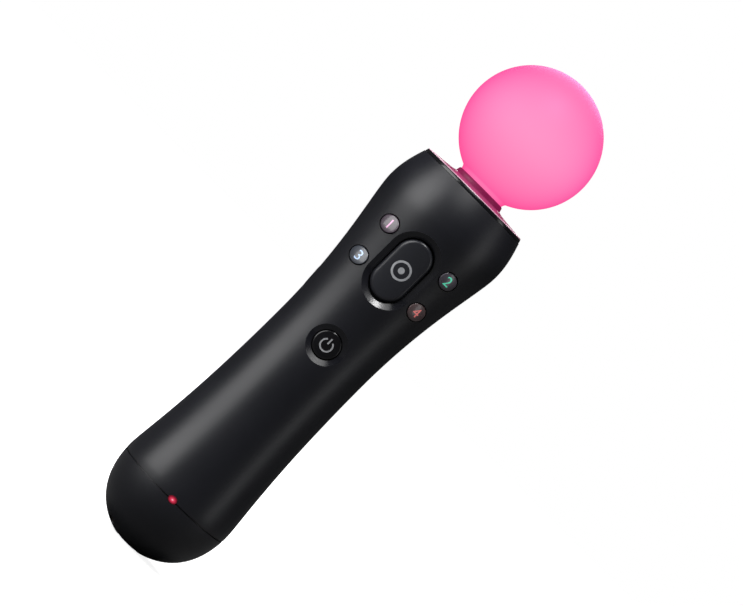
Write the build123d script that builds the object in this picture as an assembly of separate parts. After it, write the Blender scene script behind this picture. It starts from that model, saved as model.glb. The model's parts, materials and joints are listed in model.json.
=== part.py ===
"""Motion controller wand: a turned two-part housing with a glowing ball on top.

Millimetres. +Z runs along the wand from its flat foot to the ball, the buttons face -Y,
the trigger faces +Y, and the origin is the centre of the foot.
"""
from build123d import *
import os
from math import asin, cos, pi, radians, sin, sqrt

# Clearances and fits
wall = 2.0
overrun = 5.0
fit_clearance = 0.15
button_clearance = 0.3
running_clearance = 0.04
touch_gap = 0.05

# Outline of the body, turned about the axis
foot_radius = 5.6
heel_radius = 21.0
heel_height = 22.6
waist_radius = 17.55
waist_height = 85.5
flare_radius = 23.0
flare_height = 139.0
shoulder_radius = 20.6
shoulder_height = 151.5
foot_bend_shares = (0.36, 0.1)
heel_bend_share = 0.66
handle_bend_shares = (0.08, 0.62)
flare_bend_shares = (0.54, 0.14)
shoulder_bend_shares = (0.36, 0.6, 0.35)

# Seams between the housing pieces
seam_height = 20.8
groove_depth = 0.3
groove_width = 0.24
spigot_height = 3.0
spigot_wall = 1.5
spigot_root = 4.0

# Top collar, with its glossy band and shallow dome
collar_inset = 0.15
rim_radius = 19.4
rim_height = 153.0
rim_rounding = 0.5
dome_middle_radius = 14.6
dome_middle_height = 153.42
dome_top_radius = 10.3
dome_top_height = 153.9
collar_ceiling = 152.0
collar_skirt_radius = 18.4
collar_boss_reach = 12.6
collar_boss_radius = 2.2
collar_screw_angles = (90, 210, 330)

# Ring round the ball's neck
neck_ring_radius = 9.6
neck_ring_waist_radius = 9.3
neck_ring_top_radius = 8.75
neck_ring_waist_height = 154.9
neck_ring_top_height = 155.7
neck_ring_bore_radius = 8.1
neck_ring_base = 149.4
neck_flange_radius = 10.2
neck_flange_thickness = 1.6

# Ball
ball_radius = 22.5
neck_rise = 1.07
ball_wall = 1.8
ball_bead_radius = 9.6
ball_bore_radius = 6.2

# Light inside the ball
led_board_radius = 18.2
led_board_base = 143.6
led_board_thickness = 1.2
led_width = 3.5
led_thickness = 1.6
lens_flange_thickness = 2.0
lens_radius = 5.6
lens_shoulder_rise = 4.7
lens_crown_rise = 3.4
lens_wall = 1.0

# Layout of the inside, from the parting plane towards the front
chassis_thickness = 2.0
board_standoff = 4.8
board_thickness = 1.2
web_thickness = 0.6
dome_height = 1.4
dome_skirt = 0.45
dome_wall = 0.5

# Chassis outline
chassis_rise = 3.2
chassis_width = 23.2
chassis_foot_width = 30.4
chassis_foot_height = 6.0
chassis_head_base = 131.0
chassis_head_width = 33.2
chassis_ring_bore_radius = 15.0
chassis_ring_thickness = 2.0
chassis_slot_width = 9.0
chassis_slot_height = 26.0
chassis_slot_base = 54.0

# Main circuit board
board_width = 23.0
board_head_width = 28.4
board_head_base = 110.0
board_neck_width = 21.0
board_neck_base = 131.0
board_top = 139.0
board_tail_width = 14.0
board_tail_drop = 1.2
board_tail_length = 10.4
board_screw_places = ((-9.2, 46.0), (9.2, 46.0), (-8.0, 136.4), (8.0, 136.4))
standoff_radius = 2.0
chip_thickness = 1.0
chip_places = ((0, 62.0, 8.0, 8.0), (-5.6, 72.5, 4.0, 5.0), (5.0, 72.5, 5.0, 5.0), (0, 44.0, 5.0, 3.0))
shield_width = 18.0
shield_base = 55.0
shield_top = 79.0
shield_depth = 2.4
shield_wall = 0.3
antenna_width = 11.0
antenna_base = 135.0
antenna_height = 2.6
antenna_thickness = 0.8

# Battery with its ledges, plug and socket
battery_width = 23.0
battery_depth = 9.8
motor_to_battery = 2.6
battery_length = 48.0
battery_rounding = 2.4
ledge_width = 16.0
ledge_depth = 6.0
ledge_thickness = 1.5
ledge_notch_width = 5.0
battery_window_width = 7.0
battery_window_height = 4.4
socket_width = 6.4
socket_height = 4.0
socket_depth = 3.4
socket_wall = 0.7
plug_tail = 1.2
lead_radius = 0.5
lead_spacing = 2.0
lead_bend = 1.6
battery_lead_place = 3.6
battery_to_sides = 4.2

# Large button in its bevelled recess
large_width = 12.1
large_height = 22.1
large_clearance = 0.6
large_centre = 120.1
large_inset = 0.35
large_edge_rounding = 0.8
large_stem_radius = 2.4
large_stem_length = 3.5
large_bevel_depth = 1.4
large_bevel_width = 2.0
well_wall = 1.2
flange_thickness = 1.0
flange_lip = 1.3
large_flange_lip = 1.6
stop_gap = 0.4

# Four round buttons
round_radius = 2.85
round_dome_radius = 12.0
round_rise = 0.6
round_edge_rounding = 0.3
round_travel = 0.9
round_stem_radius = 1.2
round_stem_length = 1.25
round_well_wall = 0.9
round_flange_thickness = 0.8
round_flange_lip = 1.0
upper_round_offset = 12.6
upper_round_height = 127.8
lower_round_offset = 12.5
lower_round_height = 114.3

# Home button
home_radius = 4.55
home_centre = 87.8
home_inset = 0.5
home_edge_rounding = 0.4
home_stem_radius = 1.6
home_stem_length = 2.5
home_well_wall = 1.0
home_bevel_depth = 0.9
home_bevel_width = 1.75

# Two side buttons, in the rear shell
side_width = 4.4
side_length = 9.0
side_place = 5.5
side_rise = 0.4
side_edge_rounding = 0.3
side_travel = 0.5
side_flange_reach = 12.55
side_flange_lip = 0.8
side_flange_thickness = 0.8
side_switch_thickness = 1.8
side_switch_width = 4.0
side_plunger_radius = 1.0
side_plunger_floor = 10.5
side_ear_reach = 8.6
side_ear_thickness = 1.4
side_ear_depth = 8.6
side_ear_height = 5.4

# Trigger
trigger_width = 17.0
trigger_gap = 0.35
sides_to_trigger = 4.7
trigger_length = 27.6
trigger_top_radius = 22.0
trigger_middle_radius = 20.6
trigger_middle_share = 0.51
trigger_tip_radius = 20.9
trigger_inner_radius = 15.8
trigger_wall = 1.4
trigger_edge_rounding = 0.8
trigger_pivot_place = 16.6
trigger_pivot_drop = 3.7
trigger_arm_width = 3.0
trigger_arm_height = 3.0
trigger_arm_rise = 8.1
trigger_arm_place = 7.4
pin_radius = 0.9
pin_length = 16.2

# Trigger bracket, spring, pad and sensor board
bracket_width = 18.8
bracket_margin = 0.5
bracket_overlap = 0.9
bracket_thickness = 1.6
cheek_reach = 5.3
cheek_thickness = 1.3
cheek_drop = 10.8
cheek_nose_radius = 1.8
bridge_place = 6.0
bridge_depth = 6.0
bridge_thickness = 1.3
spring_radius = 1.6
spring_wire_radius = 0.25
spring_pitch = 0.75
spring_turns = 4.25
spring_start = 1.4
coil_steps = 8
spring_lower_leg = 6.6
spring_upper_leg = 7.0
trigger_board_width = 8.0
trigger_board_height = 8.4
trigger_board_thickness = 0.8
pad_width = 6.6
pad_base_thickness = 0.6
pad_radius = 2.0
pad_skirt_radius = 2.8

# Vibration motor
post_to_motor = 1.8
motor_radius = 6.0
motor_boot_wall = 0.9
motor_back = -9.0
motor_front = 4.5
motor_boot_back = -8.5
motor_boot_front = 1.5
motor_shaft_radius = 0.75
motor_shaft_tip = 11.4
motor_bearing_depth = 2.0
weight_radius = 5.2
weight_back = 6.0
weight_front = 11.0
weight_hub_radius = 1.8
motor_lead_place = 9.0
motor_lead_reach = 10.8
motor_notch_height = 4.6
motor_lead_radius = 0.45
motor_lead_bend = 1.2
wire_sides = 8

# Status light over the seam
status_width = 3.0
status_height = 2.2
status_rise = 0.2
status_led_width = 2.0
status_led_thickness = 1.2

# Ports in the foot
port_board_width = 18.0
port_board_thickness = 1.0
port_board_base = 4.6
port_board_top = 18.0
guide_reach = 8.0
guide_width = 2.4
guide_depth = 1.6
guide_top = 12.0
usb_width = 7.7
usb_depth = 4.0
usb_mouth = 0.5
usb_top = 9.6
usb_metal = 0.4
usb_block = 3.0
tongue_thickness = 0.9
extension_width = 9.2
extension_depth = 6.6
extension_base = 4.8
extension_top = 10.4
extension_mouth_width = 8.0
extension_mouth_depth = 3.6
extension_mouth = 0.8
extension_lip = 0.6
contact_radius = 1.4
contact_offset = 8.4
contact_place = -6.0
contact_top = 7.2
flex_thickness = 0.25
flex_width = 6.0
flex_bend = 1.5
port_flex_base = 12.0
port_flex_bend_drop = 4.4
port_flex_lap = 3.0
led_flex_base = 132.6
led_flex_end = -2.8

# Eye for the wrist strap
strap_place = 14.4
strap_hole_radius = 1.6
strap_ledge_top = 9.2
strap_pocket_height = 3.8
strap_pocket_width = 6.4
strap_wall = 1.6

# Screws
lower_screw_offset = 12.5
lower_screw_rise = 6.2
upper_screw_offset = 14.0
upper_screw_height = 135.5
housing_screw_depth = 5.5
housing_screw_tip = -9.0
housing_boss_radius = 3.0
housing_nut_radius = 2.6
housing_head_radius = 1.9
housing_head_height = 1.2
housing_shank_radius = 1.1
small_head_radius = 1.5
small_head_height = 1.0
small_shank_radius = 0.8
board_screw_length = 4.4
collar_screw_length = 6.4
bracket_screw_offset = 7.0
bracket_screw_rise = 3.2
bracket_screw_drop = 5.2
bracket_head_radius = 1.3
hole_clearance = 0.2

# Reset button
reset_rise = 5.7
reset_radius = 1.0
reset_depth = 0.8
reset_flange_radius = 1.9
reset_stop_depth = 0.2
reset_travel = 0.25
reset_post_width = 4.8
reset_post_height = 4.6
reset_post_depth = 11.4
reset_switch_thickness = 1.8
reset_switch_width = 3.6

# Places that follow from the sizes above
reach = flare_radius + overrun
top_cut = shoulder_height + overrun
board_back = -(chassis_thickness + board_standoff)
board_front = board_back - board_thickness
web_front = board_front - web_thickness
dome_front = web_front - dome_height
stem_end = dome_front - touch_gap
large_seat = stem_end - large_stem_length - flange_thickness
home_seat = stem_end - home_stem_length - flange_thickness
round_seat = stem_end - round_stem_length
round_floor = round_seat + round_travel + stop_gap
bead_base = led_board_base + led_board_thickness + lens_flange_thickness
bead_top = neck_ring_base - touch_gap
led_top = led_board_base + led_board_thickness
motor_place = motor_radius + motor_boot_wall
status_centre = seam_height + status_rise
ball_height = neck_ring_top_height + neck_rise + sqrt(ball_radius ** 2 - neck_ring_top_radius ** 2)
chassis_base = seam_height + chassis_rise
board_tail_base = seam_height - board_tail_drop
board_tail_top = board_tail_base + board_tail_length
port_flex_bend_height = chassis_base - port_flex_bend_drop
port_flex_top = chassis_base + port_flex_lap
reset_height = seam_height + reset_rise
motor_height = reset_height + reset_post_height / 2 + post_to_motor + motor_place
battery_base = motor_height + motor_place + motor_to_battery
battery_top = battery_base + battery_length
side_height = battery_top + battery_to_sides
trigger_base = side_height + sides_to_trigger
trigger_top = trigger_base + trigger_length
trigger_middle_height = trigger_base + trigger_middle_share * trigger_length
trigger_pivot_height = trigger_top - trigger_pivot_drop
trigger_arm_centre = trigger_base + trigger_arm_rise
bracket_base = trigger_base + bracket_margin
bracket_top = trigger_top + bracket_overlap
cheek_root = trigger_pivot_height - cheek_drop
bracket_screw_places = (
    (-bracket_screw_offset, bracket_base + bracket_screw_rise),
    (bracket_screw_offset, bracket_base + bracket_screw_rise),
    (0, trigger_pivot_height - bracket_screw_drop),
)
housing_screw_places = (
    (-lower_screw_offset, seam_height + lower_screw_rise),
    (lower_screw_offset, seam_height + lower_screw_rise),
    (-upper_screw_offset, upper_screw_height),
    (upper_screw_offset, upper_screw_height),
)
side_seat = side_flange_reach + side_flange_thickness
pad_front = trigger_arm_place - touch_gap


# Outline of the body
def outline_spans(inset):
    """Four cubic curves from foot to shoulder as (radius, height) points, moved in by inset."""
    foot = foot_radius - inset
    heel = heel_radius - inset
    waist = waist_radius - inset
    flare = flare_radius - inset
    shoulder = shoulder_radius - inset
    handle_rise = waist_height - heel_height
    flare_rise = flare_height - waist_height
    shoulder_rise = shoulder_height - flare_height
    foot_out, foot_up = foot_bend_shares
    handle_low, handle_high = handle_bend_shares
    flare_low, flare_high = flare_bend_shares
    shoulder_low, shoulder_out, shoulder_high = shoulder_bend_shares
    base_span = (
        (foot, inset),
        (foot + foot_out * (heel - foot), inset + foot_up * heel_height),
        (heel, heel_height - heel_bend_share * heel_height),
        (heel, heel_height),
    )
    handle_span = (
        (heel, heel_height),
        (heel, heel_height + handle_low * handle_rise),
        (waist, waist_height - handle_high * handle_rise),
        (waist, waist_height),
    )
    flare_span = (
        (waist, waist_height),
        (waist, waist_height + flare_low * flare_rise),
        (flare, flare_height - flare_high * flare_rise),
        (flare, flare_height),
    )
    shoulder_span = (
        (flare, flare_height),
        (flare, flare_height + shoulder_low * shoulder_rise),
        (shoulder + shoulder_out * (flare - shoulder), shoulder_height - shoulder_high * shoulder_rise),
        (shoulder, shoulder_height),
    )
    return (base_span, handle_span, flare_span, shoulder_span)


def span_point(span, t):
    """Radius and height at the share t of a cubic curve."""
    weights = ((1 - t) ** 3, 3 * t * (1 - t) ** 2, 3 * t ** 2 * (1 - t), t ** 3)
    radius = sum(weight * point[0] for weight, point in zip(weights, span))
    height = sum(weight * point[1] for weight, point in zip(weights, span))
    return radius, height


def radius_at(height, inset=0):
    """Radius of the outline at a height, found by halving the curve's share."""
    for span in outline_spans(inset):
        if height <= span[-1][1]:
            break
    low, high = 0.0, 1.0
    for _ in range(40):
        middle = (low + high) / 2
        if span_point(span, middle)[1] < height:
            low = middle
        else:
            high = middle
    return span_point(span, low)[0]


# Small building blocks
def block(x0, x1, y0, y1, z0, z1):
    """Box between two opposite corners."""
    centre = Pos((x0 + x1) / 2, (y0 + y1) / 2, (z0 + z1) / 2)
    return centre * Box(abs(x1 - x0), abs(y1 - y0), abs(z1 - z0))


def column_x(radius, x0, x1, y, z):
    """Round column along X."""
    return Pos((x0 + x1) / 2, y, z) * Rot(0, 90, 0) * Cylinder(radius, abs(x1 - x0))


def column_y(radius, y0, y1, x, z):
    """Round column along Y."""
    return Pos(x, (y0 + y1) / 2, z) * Rot(90, 0, 0) * Cylinder(radius, abs(y1 - y0))


def column_z(radius, z0, z1, x=0, y=0):
    """Round column along Z."""
    return Pos(x, y, (z0 + z1) / 2) * Cylinder(radius, abs(z1 - z0))


def ring(outer_radius, inner_radius, z0, z1):
    """Round ring about the axis of the wand."""
    return column_z(outer_radius, z0, z1) - column_z(inner_radius, z0 - overrun, z1 + overrun)


def oblong_y(width, height, y0, y1, x, z):
    """Upright oblong column along Y."""
    plane = Plane(origin=(x, y0, z), x_dir=(1, 0, 0), z_dir=(0, 1, 0))
    return extrude(plane * SlotOverall(height, width, rotation=90), y1 - y0)


def oblong_x(width, height, x0, x1, y, z):
    """Upright oblong column along X."""
    plane = Plane(origin=(min(x0, x1), y, z), x_dir=(0, 1, 0), z_dir=(1, 0, 0))
    return extrude(plane * SlotOverall(height, width, rotation=90), abs(x1 - x0))


def turned(edges):
    """Solid turned about the axis from a closed outline in the XZ plane."""
    return revolve(make_face(edges), Axis.Z, 360)


def lines(points):
    """Straight edges through (radius, height) points."""
    corners = [(radius, 0, height) for radius, height in points]
    return [Line(start, end) for start, end in zip(corners, corners[1:])]


def body_solid(inset, top=shoulder_height):
    """The body's outline as one solid, moved in by inset and carried up to a flat top."""
    spans = outline_spans(inset)
    edges = [Bezier(*[(radius, 0, height) for radius, height in span]) for span in spans]
    closing = [(0, top), (0, inset), spans[0][0]]
    if top > shoulder_height:
        closing.insert(0, (spans[-1][-1][0], top))
    closing.insert(0, spans[-1][-1])
    return turned(edges + lines(closing))


def section_yz(points, x0, x1):
    """Straight-sided piece along X from (y, z) corners."""
    plane = Plane(origin=(x0, 0, 0), x_dir=(0, 1, 0), z_dir=(1, 0, 0))
    return extrude(plane * make_face(Polyline(*points, close=True)), x1 - x0)


def lead(points, bend, radius):
    """Eight-sided wire along straight runs joined by bends."""
    path = FilletPolyline(*points, radius=bend)
    section = Plane(origin=path @ 0, z_dir=path % 0) * RegularPolygon(radius, wire_sides)
    return sweep(section, path=path)


def ribbon(points, bend, width, thickness):
    """Flat flexible cable along straight runs joined by bends, with its width along X."""
    path = FilletPolyline(*points, radius=bend)
    plane = Plane(origin=path @ 0, x_dir=(1, 0, 0), z_dir=path % 0)
    return sweep(plane * Rectangle(width, thickness), path=path)


def across_edges(shape, limit):
    """Edges in front of a depth that don't run from front to back."""
    edges = shape.edges().filter_by(Axis.Y, reverse=True)
    return edges.filter_by(lambda edge: edge.center().Y < limit)


def group(solids):
    """Separate solids kept together in one piece of the list."""
    return Compound(children=list(solids))


outer = body_solid(0)
cavity = body_solid(wall, top_cut)
room = body_solid(wall + fit_clearance, top_cut)
skin = outer - body_solid(groove_depth)
front_half = block(-reach, reach, -reach, 0, seam_height, top_cut)
rear_half = block(-reach, reach, 0, reach, seam_height, top_cut)
half_groove = groove_width / 2
parting_groove = skin & block(-reach, reach, -half_groove, half_groove, seam_height, top_cut)
seam_groove = skin & block(-reach, reach, -reach, reach, seam_height - half_groove, seam_height + half_groove)
round_places = {
    "upper_left_button": (-upper_round_offset, upper_round_height),
    "lower_left_button": (-lower_round_offset, lower_round_height),
    "upper_right_button": (upper_round_offset, upper_round_height),
    "lower_right_button": (lower_round_offset, lower_round_height),
}


# Housing
def make_front_shell():
    """Front half of the housing, with button wells, screw posts and half the status light's hole."""
    large_hole_width = large_width + 2 * large_clearance
    large_hole_height = large_height + 2 * large_clearance
    home_hole_radius = home_radius + button_clearance
    round_hole_radius = round_radius + button_clearance
    shell = outer & front_half
    shell -= parting_groove
    shell -= seam_groove

    shell -= oblong_y(large_hole_width, large_hole_height, -reach, stem_end, 0, large_centre)
    rim = across_edges(shell, -waist_radius / 2 - overrun).filter_by(
        lambda edge: abs(edge.center().Z - large_centre) <= large_hole_height / 2
        and abs(edge.center().X) <= large_hole_width / 2)
    shell = chamfer(rim, large_bevel_depth, large_bevel_width)

    shell -= column_y(home_hole_radius, -reach, stem_end, 0, home_centre)
    rim = across_edges(shell, -waist_radius / 2 - overrun).filter_by(
        lambda edge: abs(edge.center().Z - home_centre) <= home_hole_radius
        and abs(edge.center().X) <= home_hole_radius)
    shell = chamfer(rim, home_bevel_depth, home_bevel_width)

    kept = oblong_y(large_hole_width + 2 * well_wall, large_hole_height + 2 * well_wall,
                    -reach, large_seat, 0, large_centre)
    kept += column_y(home_hole_radius + home_well_wall, -reach, home_seat, 0, home_centre)
    for x, z in round_places.values():
        kept += column_y(round_hole_radius + round_well_wall, -reach, round_seat, x, z)
    for x, z in housing_screw_places:
        kept += column_y(housing_nut_radius, -reach, -chassis_thickness, x, z)
    shell -= cavity - kept

    for x, z in round_places.values():
        shell -= column_y(round_hole_radius, -reach, round_floor, x, z)
    for x, z in housing_screw_places:
        shell -= column_y(housing_shank_radius, housing_screw_tip, 0, x, z)
    shell -= status_window(fit_clearance)
    return shell


def status_window(clearance):
    """Oval space of the status light, from the front of the main board outwards across the seam."""
    plane = Plane(origin=(0, -reach, status_centre), x_dir=(1, 0, 0), z_dir=(0, 1, 0))
    oval = plane * Ellipse(status_width / 2 + clearance, status_height / 2 + clearance)
    return extrude(oval, reach + board_front)


def housing_seat(x, z):
    """Depth at which a housing screw's head sits."""
    return sqrt(radius_at(z) ** 2 - x ** 2) - housing_screw_depth - housing_head_height


def reset_stop():
    """Depth of the small boss that the reset pin's flange rests against."""
    return radius_at(reset_height, wall) - reset_stop_depth


def trigger_opening(gap):
    """Straight-sided space round the trigger."""
    half = trigger_width / 2 + gap
    return block(-half, half, trigger_arm_place, reach, trigger_base - gap, trigger_top + gap)


def make_rear_shell():
    """Rear half of the housing, with the trigger's opening and the screw posts."""
    shell = outer & rear_half
    shell -= parting_groove
    shell -= seam_groove
    kept = column_y(reset_flange_radius + fit_clearance, reset_stop(), reach, 0, reset_height)
    for x, z in housing_screw_places:
        kept += column_y(housing_boss_radius, 0, reach, x, z)
    for side in (-1, 1):
        kept += oblong_x(side_width + 2 * button_clearance + 2 * well_wall,
                         side_length + 2 * button_clearance + 2 * well_wall,
                         side * side_seat, side * reach, side_place, side_height)
    shell -= cavity - kept
    shell -= trigger_opening(trigger_gap)
    for side in (-1, 1):
        shell -= oblong_x(side_width + 2 * button_clearance, side_length + 2 * button_clearance,
                          side * side_flange_reach, side * reach, side_place, side_height)
    for x, z in housing_screw_places:
        seat = housing_seat(x, z)
        shell -= column_y(housing_head_radius + button_clearance, seat, reach, x, z)
        shell -= column_y(housing_shank_radius, 0, reach, x, z)
    shell -= column_y(reset_radius + button_clearance, trigger_arm_place, reach, 0, reset_height)
    return shell


def make_end_cap():
    """Rounded foot of the wand, with its spigot, port openings and the strap's eye."""
    below = block(-reach, reach, -reach, reach, -overrun, seam_height)
    cap = (outer & below) - cavity
    spigot_radius = radius_at(seam_height, wall) - fit_clearance
    root_radius = radius_at(seam_height) - wall / 2
    cap += ring(root_radius, spigot_radius - spigot_wall, seam_height - spigot_root, seam_height) & outer
    cap += ring(spigot_radius, spigot_radius - spigot_wall, seam_height, seam_height + spigot_height)
    cap -= seam_groove
    cap -= status_window(fit_clearance)

    strap_top = strap_ledge_top + strap_pocket_height + strap_wall
    strap_inner = strap_place - strap_hole_radius - strap_wall
    strap_half = strap_pocket_width / 2 + strap_wall
    cap += block(-strap_half, strap_half, strap_inner, reach, 0, strap_top) & outer
    cap -= block(-strap_pocket_width / 2, strap_pocket_width / 2, strap_inner + strap_wall / 2,
                 reach, strap_ledge_top, strap_ledge_top + strap_pocket_height)
    cap -= column_z(strap_hole_radius, -overrun, strap_ledge_top + overrun / 2, 0, strap_place)

    for side in (-1, 1):
        guide = block(side * guide_reach, side * (guide_reach + guide_width),
                      -port_board_thickness - guide_depth, guide_depth, 0, guide_top) & outer
        cap += guide
    slot = port_board_width / 2 + fit_clearance
    cap -= block(-slot, slot, -port_board_thickness - touch_gap, touch_gap,
                 port_board_base, guide_top + overrun)

    cap -= block(-usb_width / 2 - fit_clearance, usb_width / 2 + fit_clearance,
                 -port_board_thickness - usb_depth - fit_clearance, -port_board_thickness + fit_clearance,
                 -overrun, port_board_base)
    cap -= block(-extension_mouth_width / 2 - fit_clearance, extension_mouth_width / 2 + fit_clearance,
                 extension_depth - extension_mouth_depth - fit_clearance, extension_depth + fit_clearance,
                 -overrun, extension_base)
    for side in (-1, 1):
        cap -= column_z(contact_radius + touch_gap, -overrun, contact_top, side * contact_offset, contact_place)
    return cap


# Top of the wand
def make_top_collar():
    """Glossy ring that closes the top, with a shallow dome, a skirt and three screw posts."""
    bore = neck_ring_radius + fit_clearance
    skirt_inner = collar_skirt_radius - spigot_wall
    band = shoulder_radius - collar_inset
    edges = lines([(bore, dome_top_height), (bore, collar_ceiling), (skirt_inner, collar_ceiling),
                   (skirt_inner, led_top), (collar_skirt_radius, led_top),
                   (collar_skirt_radius, shoulder_height), (band, shoulder_height),
                   (rim_radius + rim_rounding, rim_height - rim_rounding)])
    edges.append(Bezier((rim_radius + rim_rounding, 0, rim_height - rim_rounding),
                        (rim_radius + rim_rounding / 2, 0, rim_height),
                        (rim_radius - rim_rounding / 2, 0, rim_height + touch_gap / 2)))
    edges.append(ThreePointArc((rim_radius - rim_rounding / 2, 0, rim_height + touch_gap / 2),
                               (dome_middle_radius, 0, dome_middle_height),
                               (dome_top_radius, 0, dome_top_height)))
    edges += lines([(dome_top_radius, dome_top_height), (bore, dome_top_height)])
    collar = turned(edges)
    for angle in collar_screw_angles:
        x = collar_boss_reach * cos(radians(angle))
        y = collar_boss_reach * sin(radians(angle))
        collar += column_z(collar_boss_radius, led_top, collar_ceiling, x, y)
        collar -= column_z(small_shank_radius, led_top, led_board_base + collar_screw_length, x, y)
    return collar


def make_neck_ring():
    """Dark ring round the ball's neck, held under the collar by its flange."""
    flange_base = collar_ceiling - neck_flange_thickness
    return turned(lines([
        (neck_ring_bore_radius, neck_ring_base),
        (neck_ring_radius, neck_ring_base),
        (neck_ring_radius, flange_base),
        (neck_flange_radius, flange_base),
        (neck_flange_radius, collar_ceiling),
        (neck_ring_radius, collar_ceiling),
        (neck_ring_radius, dome_top_height),
        (neck_ring_waist_radius, neck_ring_waist_height),
        (neck_ring_top_radius, neck_ring_top_height),
        (neck_ring_bore_radius, neck_ring_top_height),
        (neck_ring_bore_radius, neck_ring_base),
    ]))


def make_light_ball():
    """Hollow soft ball with a stepped neck and a bead that the neck ring holds down."""
    neck = neck_ring_bore_radius - touch_gap
    shoulder = neck_ring_top_height + touch_gap
    inner_radius = ball_radius - ball_wall
    neck_join = neck_ring_top_height + neck_rise
    bore_join = ball_height - sqrt(inner_radius ** 2 - ball_bore_radius ** 2)
    edges = lines([(ball_bore_radius, bore_join), (ball_bore_radius, bead_base), (ball_bead_radius, bead_base),
                   (ball_bead_radius, bead_top), (neck, bead_top), (neck, shoulder),
                   (neck_ring_top_radius, shoulder), (neck_ring_top_radius, neck_join)])
    edges.append(ThreePointArc((neck_ring_top_radius, 0, neck_join), (ball_radius, 0, ball_height),
                               (0, 0, ball_height + ball_radius)))
    edges += lines([(0, ball_height + ball_radius), (0, ball_height + inner_radius)])
    edges.append(ThreePointArc((0, 0, ball_height + inner_radius), (inner_radius, 0, ball_height),
                               (ball_bore_radius, 0, bore_join)))
    return turned(edges)


def make_led_board():
    """Round board that carries the coloured light, with holes for the collar's screws."""
    board = column_z(led_board_radius, led_board_base, led_top)
    for angle in collar_screw_angles:
        x = collar_boss_reach * cos(radians(angle))
        y = collar_boss_reach * sin(radians(angle))
        board -= column_z(small_shank_radius, led_board_base - overrun, led_top + overrun, x, y)
    return board


def make_rgb_led():
    """Square light with a round window, on the middle of its board."""
    half = led_width / 2
    body = block(-half, half, -half, half, led_top, led_top + led_thickness)
    window_base = led_top + led_thickness * 3 / 4
    return body - column_z(led_width * 3 / 8, window_base, window_base + overrun)


def make_led_lens():
    """Clear cup over the light that stands up into the ball's neck."""
    flange_top = led_top + lens_flange_thickness
    shoulder = led_top + lens_shoulder_rise
    crown = shoulder + lens_crown_rise
    inner = lens_radius - lens_wall
    return turned(
        lines([(inner, shoulder), (inner, led_top), (ball_bead_radius, led_top),
               (ball_bead_radius, flange_top), (lens_radius, flange_top), (lens_radius, shoulder)])
        + [crown_arc(lens_radius, shoulder, lens_crown_rise)]
        + lines([(0, crown), (0, crown - lens_wall)])
        + [crown_arc(inner, shoulder, lens_crown_rise - lens_wall)])


def crown_arc(radius, base, rise):
    """Arc of a shallow dome from its edge to its top on the axis."""
    sphere = (radius ** 2 + rise ** 2) / (2 * rise)
    height = base + rise - sphere
    angle = asin(radius / sphere) / 2
    middle = (sphere * sin(angle), 0, height + sphere * cos(angle))
    return ThreePointArc((radius, 0, base), middle, (0, 0, base + rise))


def make_collar_screws():
    """Three screws that hold the light's board up against the collar."""
    screws = []
    for angle in collar_screw_angles:
        x = collar_boss_reach * cos(radians(angle))
        y = collar_boss_reach * sin(radians(angle))
        head = column_z(small_head_radius, led_board_base - small_head_height, led_board_base, x, y)
        shank = column_z(small_shank_radius, led_board_base, led_board_base + collar_screw_length, x, y)
        screws.append(head + shank)
    return group(screws)


# Buttons
def make_large_button():
    """Oblong button that follows the body's curve, with a retaining flange and one stem."""
    cap = oblong_y(large_width, large_height, -reach, large_seat, 0, large_centre) & body_solid(large_inset)
    cap = fillet(across_edges(cap, large_seat - wall), large_edge_rounding)
    flange_back = large_seat + flange_thickness
    cap += oblong_y(large_width + 2 * large_flange_lip, large_height + 2 * large_flange_lip,
                    large_seat, flange_back, 0, large_centre)
    cap += column_y(large_stem_radius, flange_back, stem_end, 0, large_centre)
    return cap


def make_round_button(x, z):
    """Domed round button, its face leaning with the body and its shank straight back."""
    radius = radius_at(z)
    depth = sqrt(radius ** 2 - x ** 2)
    sunk = 1 - (round_dome_radius - round_rise) / radius
    dome = Pos(x * sunk, -depth * sunk, z) * Sphere(round_dome_radius)
    cap = column_y(round_radius, -reach, round_seat, x, z) & dome
    cap = fillet(across_edges(cap, round_seat - round_edge_rounding), round_edge_rounding)
    flange = column_y(round_radius + round_flange_lip, round_seat, round_seat + round_flange_thickness, x, z)
    stem = column_y(round_stem_radius, round_seat, stem_end, x, z)
    return cap + (flange & room) + stem


def make_home_button():
    """Small round button below the large one."""
    cap = column_y(home_radius, -reach, home_seat, 0, home_centre) & body_solid(home_inset)
    cap = fillet(across_edges(cap, home_seat - wall), home_edge_rounding)
    flange_back = home_seat + flange_thickness
    cap += column_y(home_radius + flange_lip, home_seat, flange_back, 0, home_centre)
    cap += column_y(home_stem_radius, flange_back, stem_end, 0, home_centre)
    return cap


def make_side_button(side):
    """Narrow upright button on one side of the wand."""
    cap = oblong_x(side_width, side_length, side * side_seat, side * reach, side_place, side_height)
    cap &= body_solid(-side_rise)
    edges = cap.edges().filter_by(Axis.X, reverse=True)
    edges = edges.filter_by(lambda edge: side * edge.center().X > side_seat + side_edge_rounding)
    cap = fillet(edges, side_edge_rounding)
    flange = oblong_x(side_width + 2 * side_flange_lip, side_length + 2 * side_flange_lip,
                      side * side_flange_reach, side * side_seat, side_place, side_height)
    return cap + (flange & room)


def make_side_switch(side):
    """Small switch behind a side button, on its ear of the chassis, with a hole for its plunger."""
    back = side_ear_reach + side_ear_thickness
    half = side_switch_width / 2
    body = block(side * back, side * (back + side_switch_thickness), side_place - half, side_place + half,
                 side_height - half, side_height + half)
    hole = column_x(side_plunger_radius + running_clearance, side * side_plunger_floor, side * reach,
                    side_place, side_height)
    return body - hole


def make_side_plunger(side):
    """Round plunger of a side switch, pressed in by its button."""
    return column_x(side_plunger_radius, side * (side_plunger_floor + side_travel + touch_gap),
                    side * side_flange_reach, side_place, side_height)


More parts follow.
